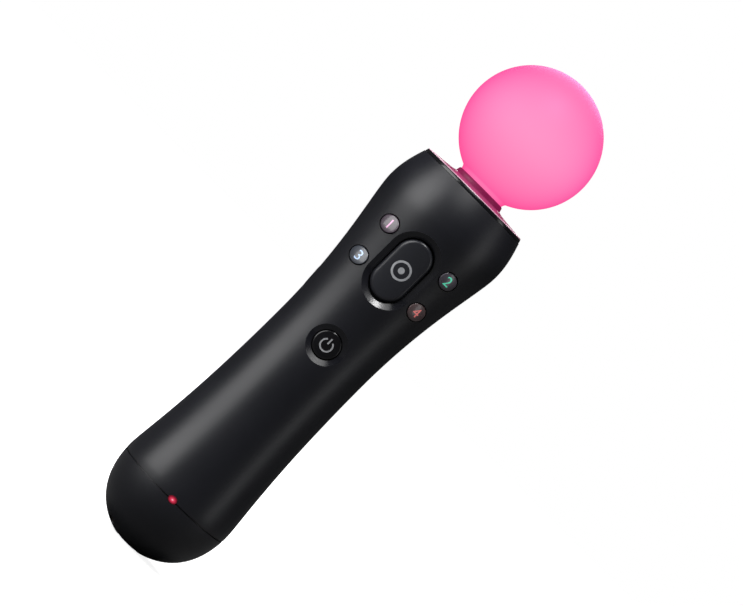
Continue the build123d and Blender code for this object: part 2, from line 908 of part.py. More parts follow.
def make_reset_button():
    """Thin pin in the rear shell, sunk below the surface, with a flange inside."""
    face = radius_at(reset_height) - reset_depth
    tip = reset_post_depth + reset_switch_thickness + reset_travel + touch_gap
    pin = column_y(reset_radius, tip, face, 0, reset_height)
    return pin + column_y(reset_flange_radius, reset_stop() - flange_thickness, reset_stop(), 0, reset_height)


def make_reset_switch():
    """Small switch at the end of its post."""
    half = reset_switch_width / 2
    return block(-half, half, reset_post_depth, reset_post_depth + reset_switch_thickness,
                 reset_height - half, reset_height + half)


def keypad_domes():
    """Places and stem radii of the domes on the rubber sheet."""
    domes = [(0, large_centre, large_stem_radius), (0, home_centre, home_stem_radius)]
    domes += [(x, z, round_stem_radius) for x, z in round_places.values()]
    return domes


def make_button_membrane():
    """Rubber sheet with a hollow dome under each front button."""
    head_half = board_head_width / 2
    neck_half = board_neck_width / 2
    stem_half = board_neck_width / 3
    web = block(-head_half, head_half, web_front, board_front, board_head_base, board_neck_base)
    web += block(-stem_half, stem_half, web_front, board_front, home_centre - neck_half / 2, board_head_base)
    for x, z, radius in keypad_domes():
        plane = Plane(origin=(x, web_front, z), x_dir=(1, 0, 0), z_dir=(0, -1, 0))
        crown = radius + dome_wall / 2
        web += plane * Cone(crown + dome_skirt, crown, dome_height,
                            align=(Align.CENTER, Align.CENTER, Align.MIN))
        web -= column_y(radius - dome_wall / 2, dome_front + dome_wall, 0, x, z)
    return web


# Inner frame
def make_chassis():
    """Long plate clamped between the shells, with the battery's ledges and the ears of the switches."""
    half = chassis_width / 2
    head_half = chassis_head_width / 2
    foot_half = chassis_foot_width / 2
    ring_base = led_board_base - chassis_ring_thickness
    plate = block(-half, half, -chassis_thickness, 0, chassis_base, led_board_base)
    plate += block(-head_half, head_half, -chassis_thickness, 0, chassis_head_base, led_board_base)
    plate += block(-foot_half, foot_half, -chassis_thickness, 0,
                   chassis_base, chassis_base + chassis_foot_height)
    ring_radius = radius_at(led_board_base, wall + fit_clearance)
    plate += ring(ring_radius, chassis_ring_bore_radius, ring_base, led_board_base)

    slot_half = chassis_slot_width / 2
    slot_top = chassis_slot_base + chassis_slot_height
    plate -= block(-slot_half, slot_half, -reach, 0, chassis_slot_base, slot_top)
    window_half = battery_window_width / 2
    window_base = side_height - battery_window_height / 2
    plate -= block(-window_half, window_half, -reach, 0, window_base, window_base + battery_window_height)
    notch_half = motor_notch_height / 2
    plate -= block(-half - overrun, -motor_lead_reach + notch_half / 2, -reach, 0,
                   motor_height - notch_half, motor_height + notch_half)

    for x, z in board_screw_places:
        plate += column_y(standoff_radius, board_back, -chassis_thickness, x, z)
        plate -= column_y(small_shank_radius, board_front - overrun, board_front + board_screw_length, x, z)
    for x, z in housing_screw_places:
        plate -= column_y(housing_shank_radius + hole_clearance, -reach, reach, x, z)
    for x, z in bracket_screw_places:
        plate -= column_y(small_shank_radius, -reach, reach, x, z)

    ledge_half = ledge_width / 2
    plate += block(-ledge_half, ledge_half, 0, ledge_depth,
                   battery_base - fit_clearance - ledge_thickness, battery_base - fit_clearance)
    plate += block(-ledge_half, ledge_half, 0, ledge_depth,
                   battery_top + fit_clearance, battery_top + fit_clearance + ledge_thickness)
    notch = ledge_notch_width / 2
    plate -= block(-notch, notch, touch_gap, ledge_depth + overrun, battery_top,
                   battery_top + fit_clearance + ledge_thickness)

    for side in (-1, 1):
        plate += block(side * side_ear_reach, side * (side_ear_reach + side_ear_thickness), 0, side_ear_depth,
                       side_height - side_ear_height / 2, side_height + side_ear_height / 2)
    post_half = reset_post_width / 2
    plate += block(-post_half, post_half, 0, reset_post_depth,
                   reset_height - reset_post_height / 2, reset_height + reset_post_height / 2)
    return plate


def make_main_board():
    """Circuit board in front of the chassis, narrow at the tail and wide behind the buttons."""
    half = board_width / 2
    head_half = board_head_width / 2
    neck_half = board_neck_width / 2
    tail_half = board_tail_width / 2
    board = block(-tail_half, tail_half, board_front, board_back, board_tail_base, board_tail_top)
    board += block(-half, half, board_front, board_back, board_tail_top, board_head_base)
    board += block(-head_half, head_half, board_front, board_back, board_head_base, board_neck_base)
    board += block(-neck_half, neck_half, board_front, board_back, board_neck_base, board_top)
    for x, z in board_screw_places:
        board -= column_y(small_shank_radius, board_front - overrun, board_back + overrun, x, z)
    return board


def make_board_chips():
    """Chips on the front of the main board."""
    return group(block(x - width / 2, x + width / 2, board_front - chip_thickness, board_front,
                       z - height / 2, z + height / 2) for x, z, width, height in chip_places)


def make_shield_can():
    """Thin metal lid over the radio and the processor."""
    half = shield_width / 2
    inner = half - shield_wall
    can = block(-half, half, board_front - shield_depth, board_front, shield_base, shield_top)
    return can - block(-inner, inner, board_front - shield_depth + shield_wall, board_front,
                       shield_base + shield_wall, shield_top - shield_wall)


def make_antenna():
    """Flat radio antenna at the top of the main board."""
    half = antenna_width / 2
    return block(-half, half, board_front - antenna_thickness, board_front,
                 antenna_base, antenna_base + antenna_height)


def make_board_screws():
    """Four screws that hold the main board on its posts."""
    screws = []
    for x, z in board_screw_places:
        head = column_y(small_head_radius, board_front - small_head_height, board_front, x, z)
        screws.append(head + column_y(small_shank_radius, board_front, board_front + board_screw_length, x, z))
    return group(screws)


def make_housing_screws():
    """Four screws that draw the two shells together."""
    screws = []
    for x, z in housing_screw_places:
        seat = housing_seat(x, z)
        head = column_y(housing_head_radius, seat, seat + housing_head_height, x, z)
        screws.append(head + column_y(housing_shank_radius, housing_screw_tip, seat, x, z))
    return group(screws)


# Battery
def make_battery_pack():
    """Rechargeable pack with rounded long edges, lying on the back of the chassis."""
    half = battery_width / 2
    pack = block(-half, half, 0, battery_depth, battery_base, battery_top)
    return fillet(pack.edges().filter_by(Axis.Z).filter_by(lambda edge: edge.center().Y > 0), battery_rounding)


def make_battery_socket():
    """Open-backed socket on the back of the main board."""
    half = socket_width / 2
    rise = socket_height / 2
    inner = half - socket_wall
    inner_rise = rise - socket_wall
    body = block(-half, half, board_back, board_back + socket_depth, side_height - rise, side_height + rise)
    return body - block(-inner, inner, board_back + socket_wall, 0, side_height - inner_rise,
                        side_height + inner_rise)


def make_battery_plug():
    """Plug on the battery's leads, pushed into the socket."""
    half = socket_width / 2 - socket_wall - touch_gap
    rise = socket_height / 2 - socket_wall - touch_gap
    return block(-half, half, board_back + socket_wall, board_back + socket_depth + plug_tail,
                 side_height - rise, side_height + rise)


def make_battery_leads():
    """Two wires from the top of the battery through the chassis to the plug."""
    plug_back = board_back + socket_depth + plug_tail
    route = [(plug_back, side_height), (battery_lead_place, side_height), (battery_lead_place, battery_top)]
    places = (-lead_spacing / 2, lead_spacing / 2)
    return group(lead([(x, y, z) for y, z in route], lead_bend, lead_radius) for x in places)


# Vibration motor
def make_motor_can():
    """Round motor, lying across the wand, with a bearing hole at its front."""
    can = column_x(motor_radius, motor_back, motor_front, motor_place, motor_height)
    hole = column_x(motor_shaft_radius + running_clearance, motor_front - motor_bearing_depth,
                    motor_front + overrun, motor_place, motor_height)
    return can - hole


def make_motor_boot():
    """Rubber boot with a flat foot that holds the motor to the chassis."""
    outer_radius = motor_radius + motor_boot_wall
    boot = column_x(outer_radius, motor_boot_back, motor_boot_front, motor_place, motor_height)
    boot += block(motor_boot_back, motor_boot_front, 0, motor_place,
                  motor_height - outer_radius, motor_height + outer_radius)
    return boot - column_x(motor_radius, motor_boot_back - overrun, motor_boot_front + overrun,
                           motor_place, motor_height)


def make_motor_shaft():
    """Thin steel shaft of the motor."""
    start = motor_front - motor_bearing_depth + touch_gap
    return column_x(motor_shaft_radius, start, motor_shaft_tip, motor_place, motor_height)


def make_motor_weight():
    """Half-round weight that shakes the wand as it spins."""
    disc = column_x(weight_radius, weight_back, weight_front, motor_place, motor_height)
    disc &= block(weight_back, weight_front, motor_place - weight_radius, motor_place + weight_radius,
                  motor_height - weight_radius, motor_height)
    disc += column_x(weight_hub_radius, weight_back, weight_front, motor_place, motor_height)
    return disc - column_x(motor_shaft_radius, weight_back, weight_front, motor_place, motor_height)


def make_motor_leads():
    """Two wires from the motor past the chassis to the main board."""
    leads = []
    for side in (-1, 1):
        z = motor_height + side * lead_spacing / 2
        route = [(motor_back, motor_lead_place, z), (-motor_lead_reach, motor_lead_place, z),
                 (-motor_lead_reach, board_back, z)]
        leads.append(lead(route, motor_lead_bend, motor_lead_radius))
    return group(leads)


# Trigger group
def trigger_face(depth, inner_radius, low, high):
    """Space behind the trigger's hollow finger face, turned about the axis."""
    top = (trigger_top_radius - depth, 0, trigger_top)
    tip = (trigger_tip_radius - depth, 0, trigger_base)
    middle = (trigger_middle_radius - depth, 0, trigger_middle_height)
    edges = [ThreePointArc(top, middle, tip)]
    edges += lines([(tip[0], trigger_base), (inner_radius, trigger_base),
                    (inner_radius, trigger_top), (top[0], trigger_top)])
    half = trigger_width / 2 - depth
    return turned(edges) & block(-half, half, 0, reach, low, high)


def make_trigger():
    """Hollow lever with a curved finger face, pin holes in its sides and an arm to the pad."""
    lever = trigger_face(0, trigger_inner_radius, trigger_base, trigger_top)
    surface = trigger_middle_radius - trigger_width / 4
    rim = lever.edges().filter_by(lambda edge: edge.center().Y > surface)
    lever = fillet(rim, trigger_edge_rounding)
    hollow = trigger_face(trigger_wall, trigger_arm_place,
                          trigger_base + trigger_wall, trigger_top - trigger_wall)
    lever -= hollow
    arm_half = trigger_arm_width / 2
    arm_rise = trigger_arm_height / 2
    lever += block(-arm_half, arm_half, trigger_arm_place, trigger_middle_radius - trigger_wall / 2,
                   trigger_arm_centre - arm_rise, trigger_arm_centre + arm_rise)
    return lever - column_x(pin_radius + running_clearance, -reach, reach,
                            trigger_pivot_place, trigger_pivot_height)


def make_trigger_pin():
    """Steel pin that the trigger turns on."""
    return column_x(pin_radius, -pin_length / 2, pin_length / 2, trigger_pivot_place, trigger_pivot_height)


def make_trigger_bracket():
    """Bracket on the back of the chassis, with two cheeks for the pin and a bridge for the spring."""
    half = bracket_width / 2
    bracket = block(-half, half, 0, bracket_thickness, bracket_base, bracket_top)
    nose = trigger_pivot_place
    low = trigger_pivot_height - cheek_nose_radius
    high = trigger_pivot_height + cheek_nose_radius
    profile = [(0, cheek_root), (nose, low), (nose, high), (0, bracket_top)]
    for side in (-1, 1):
        near = side * cheek_reach
        far = side * (cheek_reach + cheek_thickness)
        bracket += section_yz(profile, min(near, far), max(near, far))
        bracket += column_x(cheek_nose_radius, near, far, trigger_pivot_place, trigger_pivot_height)
    bridge_base = trigger_pivot_height + spring_radius + spring_wire_radius + touch_gap
    bracket += block(-cheek_reach, cheek_reach, bridge_place, bridge_place + bridge_depth,
                     bridge_base, bridge_base + bridge_thickness)
    bracket -= column_x(pin_radius, -reach, reach, trigger_pivot_place, trigger_pivot_height)
    for x, z in bracket_screw_places:
        bracket -= column_y(small_shank_radius, 0, overrun, x, z)
    return bracket


def make_bracket_screws():
    """Three screws that hold the bracket on the chassis."""
    screws = []
    for x, z in bracket_screw_places:
        head = column_y(bracket_head_radius, bracket_thickness, bracket_thickness + small_head_height, x, z)
        screws.append(head + column_y(small_shank_radius, -chassis_thickness, bracket_thickness, x, z))
    return group(screws)


def make_trigger_spring():
    """Wire spring coiled round the pin, one leg on the trigger and one under the bridge."""
    plane = Plane(origin=(-spring_start, trigger_pivot_place, trigger_pivot_height),
                  x_dir=(0, 1, 0), z_dir=(-1, 0, 0))
    steps = range(round(spring_turns * coil_steps) + 1)
    places = [plane.from_local_coords(coil_point(step / coil_steps)) for step in steps]
    arcs = [ThreePointArc(places[i], places[i + 1], places[i + 2]) for i in range(0, len(places) - 2, 2)]
    start, end = places[0], places[-1]
    lower_end = start - Vector(0, 0, spring_lower_leg)
    upper_end = end - Vector(0, spring_upper_leg, 0)
    path = Wire([Line(lower_end, start)] + arcs + [Line(end, upper_end)])
    section = Plane(origin=lower_end, z_dir=(0, 0, 1)) * RegularPolygon(spring_wire_radius, wire_sides)
    return sweep(section, path=path)


def coil_point(turns):
    """Place on the spring's coil after a number of turns, in the coil's own plane."""
    angle = 2 * pi * turns
    return (spring_radius * cos(angle), -spring_radius * sin(angle), spring_pitch * turns)


def make_trigger_board():
    """Small board under the trigger's pad."""
    half = trigger_board_width / 2
    rise = trigger_board_height / 2
    return block(-half, half, bracket_thickness, bracket_thickness + trigger_board_thickness,
                 trigger_arm_centre - rise, trigger_arm_centre + rise)


def make_trigger_pad():
    """Rubber pad that the trigger's arm presses."""
    back = bracket_thickness + trigger_board_thickness
    half = pad_width / 2
    pad = block(-half, half, back, back + pad_base_thickness,
                trigger_arm_centre - half, trigger_arm_centre + half)
    plane = Plane(origin=(0, back, trigger_arm_centre), x_dir=(1, 0, 0), z_dir=(0, 1, 0))
    return pad + plane * Cone(pad_skirt_radius, pad_radius, pad_front - back,
                              align=(Align.CENTER, Align.CENTER, Align.MIN))


# Foot of the wand
def make_status_light():
    """Small oval light guide from the status light to the surface, over the seam."""
    guide = status_window(0) & outer
    return guide - block(-status_width, status_width, board_front - status_led_thickness - touch_gap,
                         0, status_centre - status_height, status_centre + status_height)


def make_status_led():
    """Small light on the tail of the main board."""
    half = status_led_width / 2
    return block(-half, half, board_front - status_led_thickness, board_front,
                 status_centre - half, status_centre + half)


def make_port_board():
    """Upright board that stands in the guides of the end cap."""
    half = port_board_width / 2
    return block(-half, half, -port_board_thickness, 0, port_board_base, port_board_top)


def make_usb_shell():
    """Metal shell of the charging socket, open towards the foot."""
    half = usb_width / 2
    inner = half - usb_metal
    front = -port_board_thickness - usb_depth
    shell = block(-half, half, front, -port_board_thickness, usb_mouth, usb_top)
    return shell - block(-inner, inner, front + usb_metal, -port_board_thickness - usb_metal,
                         usb_mouth, usb_top - usb_metal)


def make_usb_tongue():
    """Plastic block and tongue inside the charging socket."""
    half = usb_width / 2 - usb_metal - touch_gap
    front = -port_board_thickness - usb_depth + usb_metal + touch_gap
    back = -port_board_thickness - usb_metal - touch_gap
    top = usb_top - usb_metal
    middle = (front + back) / 2
    tongue_half = tongue_thickness / 2
    tongue = block(-half * 2 / 3, half * 2 / 3, middle - tongue_half, middle + tongue_half,
                   usb_mouth + usb_metal, top - usb_block)
    return tongue + block(-half, half, front, back, top - usb_block, top)


def make_extension_socket():
    """Plastic accessory socket behind the charging socket."""
    half = extension_width / 2
    mouth_half = extension_mouth_width / 2
    mouth_back = extension_depth - extension_mouth_depth
    body = block(-half, half, 0, extension_depth, extension_base, extension_top)
    body += block(-mouth_half, mouth_half, mouth_back, extension_depth, extension_mouth, extension_base)
    return body - block(-mouth_half + extension_lip, mouth_half - extension_lip, mouth_back + extension_lip,
                        extension_depth - extension_lip, extension_mouth, extension_top - extension_lip * 2)


def make_charge_contacts():
    """Two charging contacts, flush with the foot's curve."""
    places = (-contact_offset, contact_offset)
    return group(column_z(contact_radius, 0, contact_top, x, contact_place) & outer for x in places)


def make_port_flex():
    """Flat cable from the port board to the main board."""
    near = -port_board_thickness - flex_thickness / 2
    far = board_back + flex_thickness / 2
    rise = (near - far) / 2
    route = [(0, near, port_flex_base), (0, near, port_flex_bend_height),
             (0, far, port_flex_bend_height + rise), (0, far, port_flex_top)]
    return ribbon(route, flex_bend, flex_width, flex_thickness)


def make_led_flex():
    """Flat cable from the main board to the underside of the light's board."""
    near = board_back + flex_thickness / 2
    top = led_board_base - flex_thickness / 2
    route = [(0, near, led_flex_base), (0, near, top), (0, led_flex_end, top)]
    return ribbon(route, flex_bend, flex_width, flex_thickness)


pieces = {
    "light_ball": make_light_ball,
    "neck_ring": make_neck_ring,
    "top_collar": make_top_collar,
    "front_shell": make_front_shell,
    "rear_shell": make_rear_shell,
    "end_cap": make_end_cap,
    "large_button": make_large_button,
    "home_button": make_home_button,
    "left_side_button": lambda: make_side_button(-1),
    "right_side_button": lambda: make_side_button(1),
    "reset_button": make_reset_button,
    "button_membrane": make_button_membrane,
    "chassis": make_chassis,
    "main_board": make_main_board,
    "board_chips": make_board_chips,
    "shield_can": make_shield_can,
    "antenna": make_antenna,
    "board_screws": make_board_screws,
    "housing_screws": make_housing_screws,
    "battery_pack": make_battery_pack,
    "battery_socket": make_battery_socket,
    "battery_plug": make_battery_plug,
    "battery_leads": make_battery_leads,
    "motor_can": make_motor_can,
    "motor_boot": make_motor_boot,
    "motor_shaft": make_motor_shaft,
    "motor_weight": make_motor_weight,
    "motor_leads": make_motor_leads,
    "trigger": make_trigger,
    "trigger_pin": make_trigger_pin,
    "trigger_bracket": make_trigger_bracket,
    "bracket_screws": make_bracket_screws,
    "trigger_spring": make_trigger_spring,
    "trigger_board": make_trigger_board,
    "trigger_pad": make_trigger_pad,
    "left_side_switch": lambda: make_side_switch(-1),
    "right_side_switch": lambda: make_side_switch(1),
    "left_switch_plunger": lambda: make_side_plunger(-1),
    "right_switch_plunger": lambda: make_side_plunger(1),
    "reset_switch": make_reset_switch,
    "led_board": make_led_board,
    "rgb_led": make_rgb_led,
    "led_lens": make_led_lens,
    "led_flex": make_led_flex,
    "collar_screws": make_collar_screws,
    "status_light": make_status_light,
    "status_led": make_status_led,
    "port_board": make_port_board,
    "usb_shell": make_usb_shell,
    "usb_tongue": make_usb_tongue,
    "extension_socket": make_extension_socket,
    "charge_contacts": make_charge_contacts,
    "port_flex": make_port_flex,
}

os.makedirs("parts", exist_ok=True)
for name, make in pieces.items():
    export_step(make(), f"parts/{name}.step")
for name, (x, z) in round_places.items():
    export_step(make_round_button(x, z), f"parts/{name}.step")
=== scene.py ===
import json
from math import asin, atan2, cos, pi, radians, sin, sqrt

import bmesh
import bpy
from mathutils import Matrix, Vector


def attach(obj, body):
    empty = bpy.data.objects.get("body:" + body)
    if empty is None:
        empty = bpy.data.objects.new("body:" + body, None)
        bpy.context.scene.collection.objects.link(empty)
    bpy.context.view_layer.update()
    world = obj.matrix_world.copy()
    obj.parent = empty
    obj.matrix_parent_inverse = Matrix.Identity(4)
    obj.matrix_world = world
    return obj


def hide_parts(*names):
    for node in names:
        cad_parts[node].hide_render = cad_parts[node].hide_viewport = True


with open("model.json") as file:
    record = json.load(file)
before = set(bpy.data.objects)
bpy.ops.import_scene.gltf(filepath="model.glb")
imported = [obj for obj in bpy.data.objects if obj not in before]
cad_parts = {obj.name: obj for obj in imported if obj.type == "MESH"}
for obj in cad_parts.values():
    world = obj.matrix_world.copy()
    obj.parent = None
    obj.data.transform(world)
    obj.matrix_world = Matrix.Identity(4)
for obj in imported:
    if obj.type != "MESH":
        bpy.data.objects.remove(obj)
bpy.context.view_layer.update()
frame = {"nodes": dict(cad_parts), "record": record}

MM = 0.001

# Ball, in millimetres
BALL_RADIUS = 22.5
NECK_TOP_RADIUS = 8.75
NECK_TOP_HEIGHT = 155.7
NECK_RISE = 1.07
BALL_CENTRE_HEIGHT = NECK_TOP_HEIGHT + NECK_RISE + sqrt(BALL_RADIUS ** 2 - NECK_TOP_RADIUS ** 2)

# Body outline in millimetres, as (radius, height) turning points and shares of the bends.
# The foot is up to 0.6 mm fuller than the solids' own, as the photograph shows it.
WALL = 2.0
FOOT_RADIUS = 5.6
HEEL_RADIUS = 21.0
HEEL_HEIGHT = 22.6
WAIST_RADIUS = 17.55
WAIST_HEIGHT = 85.5
FLARE_RADIUS = 23.0
FLARE_HEIGHT = 139.0
SHOULDER_RADIUS = 20.6
SHOULDER_HEIGHT = 151.5
FOOT_BEND_SHARES = (0.41, 0.08)
HEEL_BEND_SHARE = 0.68
HANDLE_BEND_SHARES = (0.08, 0.62)
FLARE_BEND_SHARES = (0.54, 0.14)
SHOULDER_BEND_SHARES = (0.36, 0.6, 0.35)
SEAM_HEIGHT = 20.8
GROOVE_DEPTH = 0.7
GROOVE_HALF = 0.22

# Fronts of the buttons, in millimetres
LARGE_HALF_WIDTH = 6.05
LARGE_HALF_HEIGHT = 11.05
LARGE_GAP = 0.6
LARGE_CENTRE = 120.1
LARGE_SINK = 0.35
LARGE_SEAT = -14.55
LARGE_ROUNDING = 1.1
HOME_RADIUS = 4.55
HOME_CENTRE = 87.8
HOME_SINK = 0.5
HOME_SEAT = -13.55
HOME_ROUNDING = 0.4
BUTTON_GAP = 0.3
BEVELS = {"large": (1.4, 2.0), "home": (0.9, 1.75)}
SIDE_STEPS = 14
ROUND_RADIUS = 2.85
ROUND_DOME_RADIUS = 12.0
ROUND_RISE = 0.6
ROUND_ROUNDING = 0.3
ROUND_SEAT = -11.3
ROUND_PLACES = {
    "upper_left_button": (-12.6, 127.8),
    "lower_left_button": (-12.5, 114.3),
    "upper_right_button": (12.6, 127.8),
    "lower_right_button": (12.5, 114.3),
}

# Status light, in millimetres
STATUS_CENTRE = 21.0
STATUS_HALF_WIDTH = 1.5
STATUS_HALF_HEIGHT = 1.1
STATUS_CLEARANCE = 0.15

# Trigger, in millimetres
TRIGGER_HALF_WIDTH = 8.5
TRIGGER_TOP = 131.5
TRIGGER_BASE = 103.9
TRIGGER_TOP_RADIUS = 22.0
TRIGGER_MIDDLE_RADIUS = 20.6
TRIGGER_MIDDLE_HEIGHT = 117.976
TRIGGER_TIP_RADIUS = 20.9
TRIGGER_INNER_RADIUS = 15.8
TRIGGER_WALL = 1.4
TRIGGER_GAP = 0.35
TRIGGER_CORNER = 1.2
TRIGGER_ROUNDING = 0.8
TRIGGER_MIDDLE = 0.1
TRIGGER_HOLLOW_START = 9.0
TRIGGER_HOLLOW_CORNER = 0.5

# Backs of the buttons, and the bit left at the middle of each front, in millimetres
STEM_END = -10.05
LARGE_STEM = 2.4
LARGE_FLANGE = (7.65, 12.65)
LARGE_FLANGE_BACK = -13.55
LARGE_MIDDLE = 0.004
HOME_STEM = 1.6
HOME_FLANGE = 5.85
HOME_FLANGE_BACK = -12.55
HOME_MIDDLE = 0.05
ROUND_STEM = 1.2
ROUND_MIDDLE = 0.03

# Marks, in millimetres and degrees
RING_RADII = (2.55, 3.25)
DOT_RADIUS = 1.05
POWER_RADII = (1.75, 2.25)
POWER_ARC = (122, 418)
POWER_DROP = 0.1
POWER_BAR_RISE = 1.45
POWER_BAR_HALF_WIDTH = 0.25
POWER_BAR_HALF_HEIGHT = 1.05
DIGIT_SIZE = 4.6
DIGITS = {
    "upper_left_button": "1",
    "upper_right_button": "2",
    "lower_left_button": "3",
    "lower_right_button": "4",
}

# Ends of the cutters, in millimetres
CUT_FAR = 30.0
CUT_BELOW = -3.0
WELL_BACK = -9.0
ROUND_HOLE_BACK = -10.0
STATUS_HOLE_ENDS = (-24.0, -8.0)
REAR_HOLE_FRONT = 8.0
SIDE_HOLE_START = 12.0
SOCKET_TOP = 8.0
CONTACT_HOLE_TOP = 7.0
EYE_TOP = 11.5
EYE_SLOT_START = 12.0

# Holes of the rear shell and the foot, in millimetres: places, radii and (low, high, corner) boxes
SIDE_HOLE = ((5.5, 99.2), 2.5, 4.8)
RESET_PLACE = (0.0, 26.5)
RESET_HOLE_RADIUS = 1.3
SCREW_PLACES = ((-12.5, 27.0), (12.5, 27.0), (-14.0, 135.5), (14.0, 135.5))
SCREW_HOLE_RADIUS = 2.2
TRIGGER_HOLE_CORNER = 0.9
FRONT_SOCKET = ((-4.0, -5.15), (4.0, -0.85), 0.5)
REAR_SOCKET = ((-4.15, 2.85), (4.15, 6.75), 0.4)
CONTACT_PLACES = ((-8.4, -6.0), (8.4, -6.0))
CONTACT_HOLE_RADIUS = 1.45
EYE_PLACE = (0.0, 14.4)
EYE_RADIUS = 1.6
EYE_SLOT = ((-3.2, 9.2), (3.2, 13.0), 0.6)
HOLE_SIDES = 48

# Foot's spigot, and the share of the inner curve that its inside follows
SPIGOT_GAP = 0.15
SPIGOT_WALL = 1.5
SPIGOT_TOP = SEAM_HEIGHT + 3.0
SPIGOT_BASE = SEAM_HEIGHT - 4.0
INSIDE_SHARE = 0.66

# Collar and neck ring as (radius, height) points, and as cubic curves with their steps
COLLAR_RING = ((9.75, 153.9), (9.75, 152.0), (16.9, 152.0), (16.9, 144.8), (18.4, 144.8), (18.4, 151.5),
               (20.3, 151.5), (20.42, 151.62))
COLLAR_CURVES = (
    (((20.42, 151.62), (20.36, 152.0), (20.24, 152.4), (20.12, 152.66)), 8),
    (((20.12, 152.66), (20.06, 152.82), (19.95, 152.92), (19.75, 152.96)), 8),
    (((19.75, 152.96), (17.4, 153.2), (13.4, 153.42), (10.9, 153.78)), 24),
    (((10.9, 153.78), (10.55, 153.84), (10.2, 153.93), (9.95, 154.05)), 6),
)
# The collar's faces above this height get a painted glow, and those beyond the rim radius a painted
# highlight
COLLAR_PAINTED_GLOW_HEIGHT = 152.66
COLLAR_HOLE_RADIUS = 10.0
COLLAR_RIM_RADIUS = 19.75
NECK_FOOT = ((8.1, 149.4), (9.6, 149.4), (9.6, 150.4), (10.2, 150.4), (10.2, 152.0), (9.6, 152.0),
             (9.6, 153.9))
NECK_CURVES = (
    (((9.6, 153.9), (9.42, 154.3), (9.35, 154.6), (9.3, 154.95)), 8),
    (((9.3, 154.95), (9.25, 155.3), (9.05, 155.62), (8.8, 155.7)), 8),
)
NECK_BORE_TOP = (8.1, 155.7)

# Ball's inside, and its bead, neck and lip as (radius, height) points
BALL_INNER_RADIUS = 20.7
BALL_BORE_RADIUS = 6.2
BALL_NECK = ((BALL_BORE_RADIUS, 146.8), (9.6, 146.8), (9.6, 149.35), (8.05, 149.35), (8.05, 155.75),
             (8.62, 155.75), (8.75, 155.9), (8.78, 156.3))
BALL_LIP_TURN = 1.2
ROUND_SEGMENTS = 224


# Outline of the body
def outline_spans(inset):
    """Four cubic curves from foot to shoulder as (radius, height) points, moved in by inset."""
    foot = FOOT_RADIUS - inset
    heel = HEEL_RADIUS - inset
    waist = WAIST_RADIUS - inset
    flare = FLARE_RADIUS - inset
    shoulder = SHOULDER_RADIUS - inset
    handle_rise = WAIST_HEIGHT - HEEL_HEIGHT
    flare_rise = FLARE_HEIGHT - WAIST_HEIGHT
    shoulder_rise = SHOULDER_HEIGHT - FLARE_HEIGHT
    foot_out, foot_up = FOOT_BEND_SHARES
    handle_low, handle_high = HANDLE_BEND_SHARES
    flare_low, flare_high = FLARE_BEND_SHARES
    shoulder_low, shoulder_out, shoulder_high = SHOULDER_BEND_SHARES
    return (
        ((foot, inset),
         (foot + foot_out * (heel - foot), inset + foot_up * HEEL_HEIGHT),
         (heel, HEEL_HEIGHT - HEEL_BEND_SHARE * HEEL_HEIGHT),
         (heel, HEEL_HEIGHT)),
        ((heel, HEEL_HEIGHT),
         (heel, HEEL_HEIGHT + handle_low * handle_rise),
         (waist, WAIST_HEIGHT - handle_high * handle_rise),
         (waist, WAIST_HEIGHT)),
        ((waist, WAIST_HEIGHT),
         (waist, WAIST_HEIGHT + flare_low * flare_rise),
         (flare, FLARE_HEIGHT - flare_high * flare_rise),
         (flare, FLARE_HEIGHT)),
        ((flare, FLARE_HEIGHT),
         (flare, FLARE_HEIGHT + shoulder_low * shoulder_rise),
         (shoulder + shoulder_out * (flare - shoulder), SHOULDER_HEIGHT - shoulder_high * shoulder_rise),
         (shoulder, SHOULDER_HEIGHT)),
    )


def cubic(points, t):
    """Point of a cubic curve at the share t."""
    weights = ((1 - t) ** 3, 3 * t * (1 - t) ** 2, 3 * t ** 2 * (1 - t), t ** 3)
    return tuple(sum(w * p[k] for w, p in zip(weights, points)) for k in range(len(points[0])))


def radius_at(height, inset=0.0):
    """Radius of the outline at a height, found by halving the curve's share."""
    for span in outline_spans(inset):
        if height <= span[-1][1]:
            break
    low, high = 0.0, 1.0
    halvings = 36
    for _ in range(halvings):
        middle = (low + high) / 2
        if cubic(span, middle)[1] < height:
            low = middle
        else:
            high = middle
    return cubic(span, low)[0]


def outline_normal(height):
    """(radial, upward) parts of the outline's normal at a height."""
    step = 0.05
    lowest = 0.02
    low = max(height - step, lowest)
    high = min(height + step, SHOULDER_HEIGHT)
    slope = (radius_at(high) - radius_at(low)) / (high - low)
    length = sqrt(1 + slope * slope)
    return 1 / length, -slope / length


def front_surface(x, z, sink=0.0):
    """Depth of the body's front surface at a place, moved in by sink."""
    lowest = 1.0
    radius = radius_at(min(max(z, lowest), SHOULDER_HEIGHT), sink)
    return -sqrt(max(radius * radius - x * x, 0.0))


# Mesh helpers
def piece(name, verts, faces, material, body, stands_for, sharp=30):
    """New mesh from millimetre points, riding on a body in place of nodes."""
    mesh = bpy.data.meshes.new(name)
    mesh.from_pydata([Vector(v) * MM for v in verts], [], faces)
    work = bmesh.new()
    work.from_mesh(mesh)
    bmesh.ops.remove_doubles(work, verts=work.verts, dist=0.002 * MM)
    bmesh.ops.recalc_face_normals(work, faces=work.faces)
    work.to_mesh(mesh)
    work.free()
    mesh.shade_smooth()
    mesh.set_sharp_from_angle(angle=radians(sharp))
    mesh.materials.append(material)
    obj = bpy.data.objects.new(name, mesh)
    bpy.context.scene.collection.objects.link(obj)
    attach(obj, body)
    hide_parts(*stands_for)
    return obj


